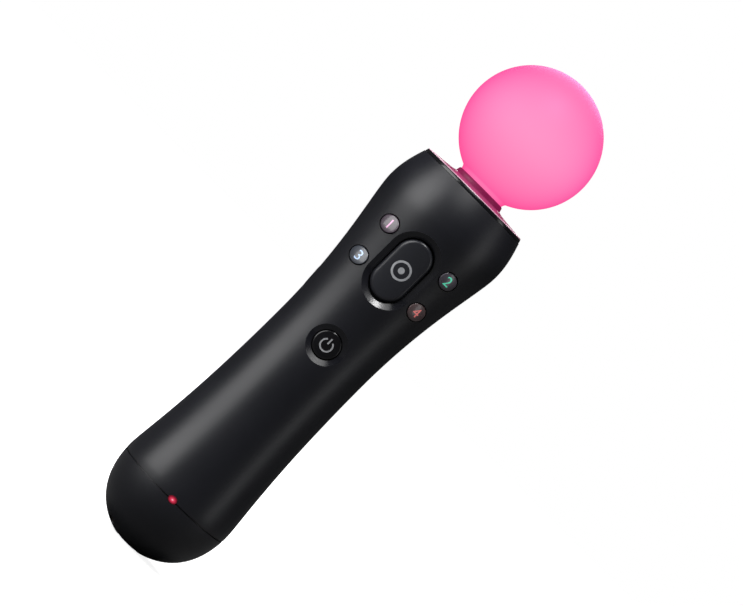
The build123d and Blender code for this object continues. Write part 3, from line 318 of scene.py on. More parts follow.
def lathe(profile, segments=192):
    """Points and faces of a closed (radius, height) outline turned about the axis."""
    verts = []
    rows = len(profile)
    for k in range(segments):
        angle = 2 * pi * k / segments
        verts += [(r * cos(angle), r * sin(angle), z) for r, z in profile]
    faces = []
    for k in range(segments):
        after = (k + 1) % segments
        for j in range(rows):
            nxt = (j + 1) % rows
            faces.append((k * rows + j, after * rows + j, after * rows + nxt, k * rows + nxt))
    return verts, faces


def with_curves(points, curves):
    """Points of an outline that goes on along cubic curves, each with its number of steps."""
    outline = list(points)
    for corners, count in curves:
        outline += [cubic(corners, (k + 1) / count) for k in range(count)]
    return outline


def arc_points(centre, radius, start, end, count):
    """Points of an arc in the (radius, height) plane, by angles in degrees."""
    points = []
    for k in range(count + 1):
        angle = radians(start + (end - start) * k / count)
        points.append((centre[0] + radius * cos(angle), centre[1] + radius * sin(angle)))
    return points


def stadium(half_width, half_height, count=96, side_steps=0):
    """Closed upright oblong of (x, z) points with their outward directions."""
    straight = half_height - half_width
    points = []
    for start, side in ((0, 1), (pi, -1)):
        for k in range(side_steps):
            z = side * straight * (2 * (k + 0.5) / side_steps - 1)
            points.append((side * half_width, z, side, 0.0))
        for k in range(count // 2):
            angle = start + 2 * pi * (k + 0.5) / count
            x, z = cos(angle), sin(angle)
            points.append((half_width * x, half_width * z + side * straight, x, z))
    return points


def ellipse(centre, half_width, half_height, count=64):
    """Closed oval of (x, z) points about a centre."""
    angles = [2 * pi * k / count for k in range(count)]
    return [(centre[0] + half_width * cos(a), centre[1] + half_height * sin(a)) for a in angles]


def prism(rings):
    """Points and faces of a solid from rings of equal length, closed at both ends."""
    count = len(rings[0])
    verts = [v for ring in rings for v in ring]
    faces = []
    for j in range(len(rings) - 1):
        for k in range(count):
            nxt = (k + 1) % count
            faces.append((j * count + k, j * count + nxt, (j + 1) * count + nxt, (j + 1) * count + k))
    faces.append(tuple(reversed(range(count))))
    faces.append(tuple(range((len(rings) - 1) * count, len(rings) * count)))
    return verts, faces


def cut(obj, cutters):
    """Takes closed (points, faces) solids that stand apart out of a piece, in one go."""
    verts, faces = joined(cutters)
    mesh = bpy.data.meshes.new("cutter")
    mesh.from_pydata([Vector(v) * MM for v in verts], [], faces)
    work = bmesh.new()
    work.from_mesh(mesh)
    bmesh.ops.recalc_face_normals(work, faces=work.faces)
    work.to_mesh(mesh)
    work.free()
    cutter = bpy.data.objects.new("cutter", mesh)
    bpy.context.scene.collection.objects.link(cutter)
    modifier = obj.modifiers.new("cut", "BOOLEAN")
    modifier.object = cutter
    modifier.operation = "DIFFERENCE"
    modifier.solver = "EXACT"
    bpy.context.view_layer.update()
    done = bpy.data.meshes.new_from_object(obj.evaluated_get(bpy.context.evaluated_depsgraph_get()))
    obj.modifiers.clear()
    obj.data = done
    bpy.data.objects.remove(cutter)
    obj.data.shade_smooth()
    sharp = 24
    obj.data.set_sharp_from_angle(angle=radians(sharp))


def joined(shapes):
    """Several (points, faces) shapes as one."""
    points, faces = [], []
    for some_points, some_faces in shapes:
        start = len(points)
        points += some_points
        faces += [tuple(start + v for v in face) for face in some_faces]
    return points, faces


def smooth_outline(obj):
    """Gives the faces on the body's outer surface the outline's own normals."""
    mesh = obj.data
    normals = [Vector(corner.vector) for corner in mesh.corner_normals]
    near = 0.02
    cache = {}
    for polygon in mesh.polygons:
        points = [mesh.vertices[v].co / MM for v in polygon.vertices]
        if any(abs(sqrt(p.x ** 2 + p.y ** 2) - radius_cached(p.z, cache)) > near for p in points):
            continue
        for loop, p in zip(polygon.loop_indices, points):
            radial, up = outline_normal(p.z)
            flat = sqrt(p.x ** 2 + p.y ** 2)
            normals[loop] = Vector((radial * p.x / flat, radial * p.y / flat, up))
    mesh.normals_split_custom_set(normals)


def radius_cached(z, cache):
    """Outline radius, kept for heights that repeat."""
    key = round(z, 4)
    if key not in cache:
        cache[key] = radius_at(min(max(key, 0.001), SHOULDER_HEIGHT))
    return cache[key]


# Materials
def shader(name):
    """New node material with its principled shader."""
    material = bpy.data.materials.new(name)
    material.use_nodes = True
    return material, material.node_tree.nodes["Principled BSDF"]


def link(source, output, target, socket):
    """Joins two sockets of nodes."""
    source.id_data.links.new(source.outputs[output], target.inputs[socket])


def put(node, **values):
    """Sets a node's inputs, whose names have spaces in place of the underscores."""
    for name, value in values.items():
        node.inputs[name.replace("_", " ")].default_value = value


def grain(principled, scale, height, rough_low, rough_high, wear_scale=40.0):
    """Fine moulded texture as bump, with roughness that drifts over the surface."""
    nodes = principled.id_data.nodes
    place = nodes.new("ShaderNodeTexCoord")
    fine = nodes.new("ShaderNodeTexNoise")
    put(fine, Scale=scale, Detail=3.0, Roughness=0.6)
    link(place, "Object", fine, "Vector")
    bump = nodes.new("ShaderNodeBump")
    put(bump, Strength=0.35, Distance=height)
    link(fine, "Fac", bump, "Height")
    link(bump, "Normal", principled, "Normal")
    broad = nodes.new("ShaderNodeTexNoise")
    put(broad, Scale=wear_scale, Detail=5.0)
    link(place, "Object", broad, "Vector")
    spread = nodes.new("ShaderNodeMapRange")
    put(spread, From_Min=0.3, From_Max=0.7, To_Min=rough_low, To_Max=rough_high)
    link(broad, "Fac", spread, "Value")
    link(spread, "Result", principled, "Roughness")
    return place, broad


def tinted(principled, driver, dark, light):
    """Colour that drifts between two near shades."""
    nodes = principled.id_data.nodes
    ramp = nodes.new("ShaderNodeValToRGB")
    ramp.color_ramp.elements[0].position = 0.35
    ramp.color_ramp.elements[1].position = 0.65
    ramp.color_ramp.elements[0].color = (*dark, 1)
    ramp.color_ramp.elements[1].color = (*light, 1)
    link(driver, "Fac", ramp, "Fac")
    link(ramp, "Color", principled, "Base Color")


def moulded(name, dark, light, rough, scale=2600.0, height=0.00003, level=0.5):
    """Moulded plastic with a fine grain."""
    material, principled = shader(name)
    put(principled, Specular_IOR_Level=level)
    _, broad = grain(principled, scale, height, rough[0], rough[1])
    tinted(principled, broad, dark, light)
    return material


def metal(name, dark, light, rough):
    """Metal with fine drawn marks."""
    material, principled = shader(name)
    put(principled, Metallic=1.0)
    _, broad = grain(principled, 900.0, 0.00001, rough[0], rough[1])
    tinted(principled, broad, dark, light)
    return material


def lit(principled, colour, strength):
    """Painted glow: emission colour and strength on a part that is no lamp."""
    put(principled, Emission_Color=(*colour, 1), Emission_Strength=strength)


body_black = moulded("body_black", (0.0052, 0.0056, 0.0085), (0.0064, 0.0068, 0.0102), (0.37, 0.42))
well_black = moulded("well_black", (0.006, 0.0063, 0.0085), (0.0075, 0.0078, 0.0105), (0.17, 0.21))
trigger_black = moulded("trigger_black", (0.006, 0.006, 0.0078), (0.008, 0.008, 0.01), (0.30, 0.36))
gloss_black = moulded("gloss_black", (0.004, 0.004, 0.005), (0.006, 0.006, 0.007), (0.16, 0.2),
                      400.0, 0.000004)
button_black = moulded("button_black", (0.013, 0.0138, 0.018), (0.0155, 0.0165, 0.021), (0.30, 0.36))
inner_black = moulded("inner_black", (0.03, 0.03, 0.032), (0.045, 0.045, 0.048), (0.4, 0.5))
board_green = moulded("board_green", (0.008, 0.07, 0.03), (0.012, 0.1, 0.04), (0.3, 0.4), 500.0, 0.00001)
grey_rubber = moulded("grey_rubber", (0.28, 0.28, 0.29), (0.33, 0.33, 0.34), (0.6, 0.7))
amber_film = moulded("amber_film", (0.4, 0.18, 0.03), (0.5, 0.24, 0.05), (0.25, 0.3), 600.0, 0.000005)
battery_wrap = moulded("battery_wrap", (0.05, 0.06, 0.09), (0.07, 0.08, 0.11), (0.3, 0.4), 700.0, 0.00001)
lead_red = moulded("lead_red", (0.3, 0.02, 0.02), (0.4, 0.03, 0.03), (0.35, 0.45), 900.0, 0.00001)
bright_steel = metal("bright_steel", (0.5, 0.5, 0.52), (0.62, 0.62, 0.64), (0.22, 0.34))
contact_gold = metal("contact_gold", (0.16, 0.12, 0.07), (0.22, 0.17, 0.1), (0.3, 0.4))


def smoked_dome(name, tint):
    """Smoky dome over a softly tinted base."""
    material, principled = shader(name)
    put(principled, Coat_Weight=0.6, Coat_Roughness=0.12)
    _, broad = grain(principled, 900.0, 0.000004, 0.34, 0.4)
    tinted(principled, broad, tuple(0.9 * c for c in tint), tuple(1.1 * c for c in tint))
    return material


def ball_glow():
    """Soft frosted ball, lit from inside; the ramp of its glow by height is painted shade, lightest across
    the middle and deepest towards the neck.
    """
    material, principled = shader("ball_glow")
    nodes = material.node_tree.nodes
    place, broad = grain(principled, 2200.0, 0.00002, 0.5, 0.6)
    put(principled, Specular_IOR_Level=0.15)
    tinted(principled, broad, (0.022, 0.011, 0.015), (0.026, 0.013, 0.018))
    put(principled, Coat_Weight=1.0, Coat_IOR=1.09, Coat_Roughness=0.6, Coat_Tint=(1.0, 0.5, 0.77, 1))
    parts = nodes.new("ShaderNodeSeparateXYZ")
    link(place, "Object", parts, "Vector")
    rise = nodes.new("ShaderNodeMapRange")
    put(rise, From_Min=0.155, From_Max=0.2)
    link(parts, "Z", rise, "Value")
    # Painted shade: the glow's colour is lightest at mid-height and deepest towards the neck, standing in
    # for the ball's shading
    ramp = nodes.new("ShaderNodeValToRGB")
    ramp.color_ramp.interpolation = "B_SPLINE"
    ramp.color_ramp.elements[0].color = (1.0, 0.3, 0.53, 1)
    ramp.color_ramp.elements[1].color = (1.0, 0.6, 0.7, 1)
    stops = ((0.06, 0.46, 0.61), (0.25, 0.5, 0.66), (0.5, 0.625, 0.75), (0.78, 0.5, 0.68))
    for position, green, blue in stops:
        ramp.color_ramp.elements.new(position).color = (1.0, green, blue, 1)
    link(rise, "Result", ramp, "Fac")
    link(ramp, "Color", principled, "Emission Color")
    put(principled, Emission_Strength=1.0)
    return material


def lit_gloss(name, dark, light, rough, glow, strength, height=0.000004, level=0.5):
    """Glossy plastic with a painted glow, emission that stands in for the ball's light reflected in it."""
    material = moulded(name, dark, light, rough, 600.0, height, level)
    lit(material.node_tree.nodes["Principled BSDF"], glow, strength)
    return material


def clear_lens():
    """Clear moulded lens."""
    material, principled = shader("clear_lens")
    grain(principled, 500.0, 0.000004, 0.05, 0.1)
    put(principled, Base_Color=(0.95, 0.95, 0.96, 1), Transmission_Weight=0.9)
    return material


def red_lamp():
    """Small red light guide, brightest at its middle."""
    material, principled = shader("red_lamp")
    nodes = material.node_tree.nodes
    place, broad = grain(principled, 1500.0, 0.00001, 0.15, 0.25)
    tinted(principled, broad, (0.08, 0.004, 0.008), (0.1, 0.006, 0.012))
    off_centre = nodes.new("ShaderNodeVectorMath")
    off_centre.operation = "SUBTRACT"
    off_centre.inputs[1].default_value = (0.5, 0.0, 0.5)
    link(place, "Generated", off_centre, 0)
    across = nodes.new("ShaderNodeVectorMath")
    across.operation = "MULTIPLY"
    across.inputs[1].default_value = (1.0, 0.0, 1.0)
    link(off_centre, 0, across, 0)
    length = nodes.new("ShaderNodeVectorMath")
    length.operation = "LENGTH"
    link(across, 0, length, 0)
    ramp = nodes.new("ShaderNodeValToRGB")
    ramp.color_ramp.interpolation = "EASE"
    ramp.color_ramp.elements[0].color = (1.0, 0.42, 0.5, 1)
    ramp.color_ramp.elements[1].position = 0.46
    ramp.color_ramp.elements[1].color = (0.13, 0.003, 0.012, 1)
    middle = ramp.color_ramp.elements.new(0.2)
    middle.color = (0.62, 0.025, 0.075, 1)
    link(length, "Value", ramp, "Fac")
    link(ramp, "Color", principled, "Emission Color")
    put(principled, Emission_Strength=1.0)
    return material


def ink(name, colour, strength):
    """Printed mark; given a strength, the print also gets a painted glow."""
    material, principled = shader(name)
    _, broad = grain(principled, 3000.0, 0.000004, 0.35, 0.45, 900.0)
    shade = tuple(c * 0.88 for c in colour)
    tinted(principled, broad, shade, colour)
    if strength:
        lit(principled, colour, strength)
    return material


smoke_dome = smoked_dome("smoke_dome", (0.05, 0.05, 0.06))
dome_tints = {
    "upper_left_button": smoked_dome("lilac_smoke", (0.052, 0.037, 0.052)),
    "lower_left_button": smoked_dome("blue_smoke", (0.036, 0.041, 0.053)),
    "upper_right_button": smoked_dome("grey_smoke", (0.055, 0.048, 0.062)),
    "lower_right_button": smoked_dome("rose_smoke", (0.09, 0.058, 0.06)),
}
# Painted glow: the collar's dome is glossy black, and this pink base and emission stand in for the ball's
# light reflected on it
painted_collar_glow = lit_gloss("collar_painted_glow", (0.05, 0.008, 0.02), (0.07, 0.012, 0.03), (0.16, 0.2),
                        (0.62, 0.08, 0.24), 0.42)
# Painted highlight: the lighter, softly glowing base on the rounded rim edge stands in for the edge
# catching the ball's and the lamps' light
painted_edge_highlight = lit_gloss("collar_edge_painted_highlight", (0.26, 0.16, 0.2), (0.3, 0.19, 0.24), (0.3, 0.36),
                      (0.8, 0.42, 0.56), 0.25)
glowing = ball_glow()
# Painted glow: the neck ring's magenta base and emission stand in for the ball's light falling on dark
# glossy plastic
painted_neck_glow = lit_gloss("neck_painted_glow", (0.07, 0.005, 0.024), (0.09, 0.007, 0.032), (0.46, 0.52),
                      (0.42, 0.016, 0.13), 0.36, 0.000005, 0.3)
lens_clear = clear_lens()
red_light = red_lamp()
grey_ink = ink("grey_ink", (0.38, 0.39, 0.41), 0.0)
light_ink = ink("light_ink", (0.3, 0.305, 0.32), 0.0)
# Print colours of the digits, each with a painted glow that makes the print brighter than the lamps light
# it
print_inks_with_painted_glow = {
    "upper_left_button": ink("lilac_ink_painted_glow", (0.72, 0.38, 0.58), 0.3),
    "lower_left_button": ink("pale_blue_ink_painted_glow", (0.44, 0.58, 0.82), 0.3),
    "upper_right_button": ink("green_ink_painted_glow", (0.08, 0.56, 0.36), 0.5),
    "lower_right_button": ink("red_ink_painted_glow", (0.6, 0.15, 0.14), 0.5),
}

# The record's slots and the materials of the nodes that stay as they are
slot_looks = {
    "body_black": body_black, "gloss_black": gloss_black, "button_black": button_black,
    "smoke_dome": smoke_dome, "glowing_ball": glowing, "clear_lens": lens_clear, "red_light": red_light,
    "inner_plastic": inner_black, "board_green": board_green, "grey_rubber": grey_rubber,
    "bright_steel": bright_steel, "contact_gold": contact_gold, "flex_amber": amber_film,
    "battery_wrap": battery_wrap, "lead_cover": lead_red,
}
node_slots = {part["node"]: part["material_slot"] for part in frame["record"]["subparts"]}
for node, obj in frame["nodes"].items():
    obj.data.materials.clear()
    obj.data.materials.append(slot_looks[node_slots[node]])


# Housing
def shell_half(name, side, columns=128, rows=150):
    """Half of the housing as a smooth turned shell, with fine grooves at its seams."""
    start = SEAM_HEIGHT + GROOVE_HALF
    rise = SHOULDER_HEIGHT - SEAM_HEIGHT - GROOVE_HALF
    levels = [(SEAM_HEIGHT, GROOVE_DEPTH), (start, GROOVE_DEPTH), (start, 0.0)]
    levels += [(start + rise * row / rows, 0.0) for row in range(1, rows + 1)]
    verts = []
    for z, depth in levels:
        inner = radius_at(z, WALL)
        outside = section_arc(radius_at(z), depth, columns)
        inside = []
        for x, y in outside:
            angle = atan2(y, x)
            inside.append((inner * cos(angle), inner * sin(angle)))
        verts += [(x, side * y, z) for x, y in outside]
        verts += [(x, side * y, z) for x, y in reversed(inside)]
    width = len(outside)
    loop = 2 * width
    faces = []
    for row in range(len(levels) - 1):
        low, high = row * loop, (row + 1) * loop
        for k in range(loop):
            nxt = (k + 1) % loop
            faces.append((low + k, low + nxt, high + nxt, high + k))
    for row in (0, len(levels) - 1):
        first, last = row * loop, (row + 1) * loop - 1
        for k in range(width - 1):
            faces.append((first + k, first + k + 1, last - k - 1, last - k))
    return piece(name, verts, faces, body_black, "wand", (name.replace("_skin", ""),))


def section_arc(radius, depth, columns):
    """Half a turn of (x, y) points at y >= 0, stepped in beside the parting plane."""
    low = radius - GROOVE_DEPTH
    outer = radius - depth
    edge = [(low, 0.0), (sqrt(low ** 2 - GROOVE_HALF ** 2), GROOVE_HALF)]
    start = asin(GROOVE_HALF / outer)
    middle = []
    for k in range(columns + 1):
        angle = start + (pi - 2 * start) * k / columns
        middle.append((outer * cos(angle), outer * sin(angle)))
    return edge + middle + [(-x, y) for x, y in reversed(edge)]


def bevelled_hole(half_width, half_height, centre, bevel, side_steps=0):
    """Cutter for a hole along Y whose outer edge is bevelled to follow the curved front."""
    depth, width = bevel
    reach = 1.6
    outside, beyond, lip, back = [], [], [], []
    for x, z, out_x, out_z in stadium(half_width, half_height, side_steps=side_steps):
        wall_y = front_surface(x, z + centre) + depth
        edge_x, edge_z = x + out_x * width, z + out_z * width
        edge_y = front_surface(edge_x, edge_z + centre)
        far_x, far_z = x + out_x * width * reach, z + out_z * width * reach
        far_y = wall_y + (edge_y - wall_y) * reach
        lip.append((x, wall_y, z + centre))
        back.append((x, WELL_BACK, z + centre))
        beyond.append((far_x, far_y, far_z + centre))
        outside.append((far_x, -CUT_FAR, far_z + centre))
    return prism([back, lip, beyond, outside])


def shine_bevels(shell, wells):
    """Gives the bevels round the front wells a glossier surface than the shell."""
    off_surface = 0.015
    shell.data.materials.append(well_black)
    for face in shell.data.polygons:
        x, y, z = face.center / MM
        if y > 0 or y - front_surface(x, z) < off_surface:
            continue
        for half_width, half_height, centre in wells:
            straight = half_height - half_width
            off = z - centre - max(-straight, min(straight, z - centre))
            if sqrt(x * x + off * off) < half_width:
                face.material_index = 1


def column(outline, *depths):
    """Rings of an upright (x, z) outline at several depths."""
    return [[(x, y, z) for x, z in outline] for y in depths]


def straight_cut(points, low, high, axis):
    """Cutter along an axis from a flat closed outline."""
    if axis == "Y":
        return prism(column(points, low, high))
    if axis == "X":
        return prism([[(x, y, z) for y, z in points] for x in (low, high)])
    return prism([[(x, y, z) for x, y in points] for z in (low, high)])


def oval(centre, half_width, half_height, count=64, side_steps=0):
    """Upright oblong outline about a centre."""
    outline = stadium(half_width, half_height, count, side_steps)
    return [(centre[0] + x, centre[1] + z) for x, z, _, _ in outline]


def disc(centre, radius, count=64):
    """Round outline about a centre."""
    return oval(centre, radius, radius, count)


def rounded_box(low, high, corner, count=6):
    """Outline of a box with rounded corners, between two opposite corners."""
    points = []
    corners = [(high[0] - corner, high[1] - corner, 0), (low[0] + corner, high[1] - corner, 90),
               (low[0] + corner, low[1] + corner, 180), (high[0] - corner, low[1] + corner, 270)]
    for x, z, start in corners:
        for k in range(count + 1):
            angle = radians(start + 90 * k / count)
            points.append((x + corner * cos(angle), z + corner * sin(angle)))
    return points


front = shell_half("front_shell_skin", -1)
front_cuts = [
    bevelled_hole(LARGE_HALF_WIDTH + LARGE_GAP, LARGE_HALF_HEIGHT + LARGE_GAP, LARGE_CENTRE,
                  BEVELS["large"], SIDE_STEPS),
    bevelled_hole(HOME_RADIUS + BUTTON_GAP, HOME_RADIUS + BUTTON_GAP, HOME_CENTRE, BEVELS["home"]),
]
for place in ROUND_PLACES.values():
    round_hole = disc(place, ROUND_RADIUS + BUTTON_GAP)
    front_cuts.append(straight_cut(round_hole, -CUT_FAR, ROUND_HOLE_BACK, "Y"))
status_outline = ellipse((0.0, STATUS_CENTRE), STATUS_HALF_WIDTH + STATUS_CLEARANCE,
                         STATUS_HALF_HEIGHT + STATUS_CLEARANCE)
status_hole = straight_cut(status_outline, *STATUS_HOLE_ENDS, "Y")
cut(front, front_cuts + [status_hole])
smooth_outline(front)
large_edge = LARGE_GAP + BEVELS["large"][1]
home_edge = HOME_RADIUS + BUTTON_GAP + BEVELS["home"][1]
shine_bevels(front, [(LARGE_HALF_WIDTH + large_edge, LARGE_HALF_HEIGHT + large_edge, LARGE_CENTRE),
                     (home_edge, home_edge, HOME_CENTRE)])

rear = shell_half("rear_shell_skin", 1)
rear_holes = [
    rounded_box((-TRIGGER_HALF_WIDTH - TRIGGER_GAP, TRIGGER_BASE - TRIGGER_GAP),
                (TRIGGER_HALF_WIDTH + TRIGGER_GAP, TRIGGER_TOP + TRIGGER_GAP), TRIGGER_HOLE_CORNER),
    disc(RESET_PLACE, RESET_HOLE_RADIUS, HOLE_SIDES),
]
rear_holes += [disc(place, SCREW_HOLE_RADIUS, HOLE_SIDES) for place in SCREW_PLACES]
rear_cuts = [straight_cut(outline, REAR_HOLE_FRONT, CUT_FAR, "Y") for outline in rear_holes]
for ends in ((SIDE_HOLE_START, CUT_FAR), (-CUT_FAR, -SIDE_HOLE_START)):
    rear_cuts.append(straight_cut(oval(*SIDE_HOLE), *ends, "X"))
cut(rear, rear_cuts)
smooth_outline(rear)


def make_end_cap():
    """Rounded foot with its spigot, the sockets' openings, the contacts' holes and the strap's eye."""
    top = SEAM_HEIGHT - GROOVE_HALF
    base = outline_spans(0)[0]
    steps = 64
    tries = 8 * steps
    top_share = max(k / tries for k in range(tries) if cubic(base, k / tries)[1] < top)
    edge = radius_at(top)
    spigot = radius_at(SEAM_HEIGHT, WALL) - SPIGOT_GAP
    inner = outline_spans(WALL)[0]
    inner_steps = 24
    profile = [(0.0, 0.0)]
    profile += [cubic(base, top_share * k / steps) for k in range(steps + 1)]
    profile += [(edge, top), (edge - GROOVE_DEPTH, top), (edge - GROOVE_DEPTH, SEAM_HEIGHT)]
    profile += [(spigot, SEAM_HEIGHT), (spigot, SPIGOT_TOP), (spigot - SPIGOT_WALL, SPIGOT_TOP),
                (spigot - SPIGOT_WALL, SPIGOT_BASE)]
    profile += [cubic(inner, INSIDE_SHARE * (1 - k / inner_steps)) for k in range(inner_steps + 1)]
    profile += [(0.0, WALL)]
    verts, faces = lathe(profile)
    cap = piece("end_cap_skin", verts, faces, body_black, "wand", ("end_cap",))
    cuts = []
    for socket in (FRONT_SOCKET, REAR_SOCKET):
        cuts.append(straight_cut(rounded_box(*socket), CUT_BELOW, SOCKET_TOP, "Z"))
    for place in CONTACT_PLACES:
        contact_hole = disc(place, CONTACT_HOLE_RADIUS, HOLE_SIDES)
        cuts.append(straight_cut(contact_hole, CUT_BELOW, CONTACT_HOLE_TOP, "Z"))
    cuts.append(straight_cut(disc(EYE_PLACE, EYE_RADIUS, HOLE_SIDES), CUT_BELOW, EYE_TOP, "Z"))
    cut(cap, cuts + [status_hole])
    cut(cap, [straight_cut(rounded_box(*EYE_SLOT), EYE_SLOT_START, CUT_FAR, "Y")])
    smooth_outline(cap)


make_end_cap()


# Top of the wand
def make_collar():
    """Glossy ring with a shallow dome, its edge rounded; the dome's top gets a painted glow of the ball's
    light and the rim edge a painted highlight.
    """
    verts, faces = lathe(with_curves(COLLAR_RING, COLLAR_CURVES), ROUND_SEGMENTS)
    collar = piece("collar_skin", verts, faces, gloss_black, "wand", ("top_collar",), 40)
    collar.data.materials.append(painted_collar_glow)
    collar.data.materials.append(painted_edge_highlight)
    for face in collar.data.polygons:
        out = sqrt(face.center.x ** 2 + face.center.y ** 2) / MM
        # Faces on the dome's top get the painted glow, and faces on the rim edge get the painted highlight
        if face.center.z > COLLAR_PAINTED_GLOW_HEIGHT * MM and out > COLLAR_HOLE_RADIUS:
            face.material_index = 2 if out > COLLAR_RIM_RADIUS else 1


def make_neck():
    """Ring round the neck, flared at its foot."""
    verts, faces = lathe(with_curves(NECK_FOOT, NECK_CURVES) + [NECK_BORE_TOP])
    # Its material carries a painted glow of the ball's light
    piece("neck_ring_skin", verts, faces, painted_neck_glow, "wand", ("neck_ring",), 40)


def make_ball():
    """Hollow ball whose neck steps in below the visible shoulder and ends in a bead."""
    centre = (0.0, BALL_CENTRE_HEIGHT)
    join = -90 + 180 / pi * asin(NECK_TOP_RADIUS / BALL_RADIUS)
    inner_join = -90 + 180 / pi * asin(BALL_BORE_RADIUS / BALL_INNER_RADIUS)
    profile = list(BALL_NECK)
    profile += arc_points(centre, BALL_RADIUS, join + BALL_LIP_TURN, 90, 120)
    profile += arc_points(centre, BALL_INNER_RADIUS, 90, inner_join, 72)
    verts, faces = lathe(profile, ROUND_SEGMENTS)
    piece("light_ball_skin", verts, faces, glowing, "wand", ("light_ball",), 40)


make_collar()
make_neck()
make_ball()


# Button caps
def large_face(x, z):
    """Face of the large button."""
    return front_surface(x, z, LARGE_SINK)


def home_face(x, z):
    """Face of the home button."""
    return front_surface(x, z, HOME_SINK)


def cap_rings(outline_at, surface, rounding, seat, rings, reach, depth_steps=8):
    """Rings of a cap from its foot over a rounded edge to its middle."""
    result = [[(x, seat, z) for x, z in outline_at(0.0)]]
    edge = outline_at(0.0)
    result.append([(x, surface(x, z) + rounding, z) for x, z in edge])
    for k in range(1, depth_steps + 1):
        angle = pi / 2 * k / depth_steps
        inward = rounding * (1 - cos(angle))
        drop = rounding * (1 - sin(angle))
        result.append([(x, surface(x, z) + drop, z) for x, z in outline_at(inward)])
    for k in range(1, rings + 1):
        inward = rounding + (reach - rounding) * k / rings
        result.append([(x, surface(x, z), z) for x, z in outline_at(inward)])
    return result


def make_large_button():
    """Oblong cap that follows the body's curve."""
    centre = (0.0, LARGE_CENTRE)

    def outline_at(inward):
        return oval(centre, LARGE_HALF_WIDTH - inward, LARGE_HALF_HEIGHT - inward, 96, SIDE_STEPS)

    rings = cap_rings(outline_at, large_face, LARGE_ROUNDING, LARGE_SEAT, 18,
                      LARGE_HALF_WIDTH - LARGE_MIDDLE)
    flange = column(oval(centre, *LARGE_FLANGE, 96, SIDE_STEPS), LARGE_FLANGE_BACK, LARGE_SEAT)
    stem = column(oval(centre, LARGE_STEM, LARGE_STEM, 96, SIDE_STEPS), STEM_END, LARGE_FLANGE_BACK)
    verts, faces = prism(stem + flange + rings)
    piece("large_button_cap", verts, faces, button_black, "large_button_body",
          ("large_button",))


def make_home_button():
    """Round cap in the lower recess."""
    centre = (0.0, HOME_CENTRE)

    def outline_at(inward):
        return disc(centre, HOME_RADIUS - inward, 96)

    rings = cap_rings(outline_at, home_face, HOME_ROUNDING, HOME_SEAT, 12, HOME_RADIUS - HOME_MIDDLE)
    flange = column(disc(centre, HOME_FLANGE, 96), HOME_FLANGE_BACK, HOME_SEAT)
    stem = column(disc(centre, HOME_STEM, 96), STEM_END, HOME_FLANGE_BACK)
    verts, faces = prism(stem + flange + rings)
    piece("home_button_cap", verts, faces, gloss_black, "home_button_body", ("home_button",))


def dome_surface(x0, z0):
    """Depth of a round button's dome over a place."""
    radius = radius_at(z0)
    depth = sqrt(radius ** 2 - x0 ** 2)
    sunk = 1 - (ROUND_DOME_RADIUS - ROUND_RISE) / radius
    centre = (x0 * sunk, -depth * sunk, z0)

    def surface(x, z):
        flat = (x - centre[0]) ** 2 + (z - centre[2]) ** 2
        return centre[1] - sqrt(max(ROUND_DOME_RADIUS ** 2 - flat, 0.0))

    return surface


def make_round_button(name, x0, z0):
    """Small domed button that leans with the body."""
    def outline_at(inward):
        return disc((x0, z0), ROUND_RADIUS - inward, 72)

    rings = cap_rings(outline_at, dome_surface(x0, z0), ROUND_ROUNDING, ROUND_SEAT, 10,
                      ROUND_RADIUS - ROUND_MIDDLE)
    stem = column(disc((x0, z0), ROUND_STEM, 72), STEM_END, ROUND_SEAT)
    verts, faces = prism(stem + rings)
    piece(f"{name}_cap", verts, faces, dome_tints[name], f"{name}_body", (name,))


make_large_button()
make_home_button()
for name, (x, z) in ROUND_PLACES.items():
    make_round_button(name, x, z)


# Trigger
def arc_through(a, b, c):
    """Centre and radius of the circle through three (radius, height) points."""
    ax, ay = a
    bx, by = b
    cx, cy = c
    a_square, b_square, c_square = ax ** 2 + ay ** 2, bx ** 2 + by ** 2, cx ** 2 + cy ** 2
    d = 2 * (ax * (by - cy) + bx * (cy - ay) + cx * (ay - by))
    ux = (a_square * (by - cy) + b_square * (cy - ay) + c_square * (ay - by)) / d
    uy = (a_square * (cx - bx) + b_square * (ax - cx) + c_square * (bx - ax)) / d
    return (ux, uy), sqrt((ax - ux) ** 2 + (ay - uy) ** 2)


finger_centre, finger_radius = arc_through((TRIGGER_TOP_RADIUS, TRIGGER_TOP),
                                           (TRIGGER_MIDDLE_RADIUS, TRIGGER_MIDDLE_HEIGHT),
                                           (TRIGGER_TIP_RADIUS, TRIGGER_BASE))


def finger_face(z):
    """Radius of the trigger's hollow face at a height."""
    return finger_centre[0] - sqrt(finger_radius ** 2 - (z - finger_centre[1]) ** 2)


def face_depth(x, z, wall=0.0):
    """Depth of the trigger's finger face at a place, or of its inside behind the wall."""
    return sqrt((finger_face(z) - wall) ** 2 - x ** 2)


def divided(points, step):
    """Closed outline with its long sides divided."""
    result = []
    for (ax, az), (bx, bz) in zip(points, points[1:] + points[:1]):
        count = max(1, round(sqrt((bx - ax) ** 2 + (bz - az) ** 2) / step))
        result += [(ax + (bx - ax) * k / count, az + (bz - az) * k / count) for k in range(count)]
    return result


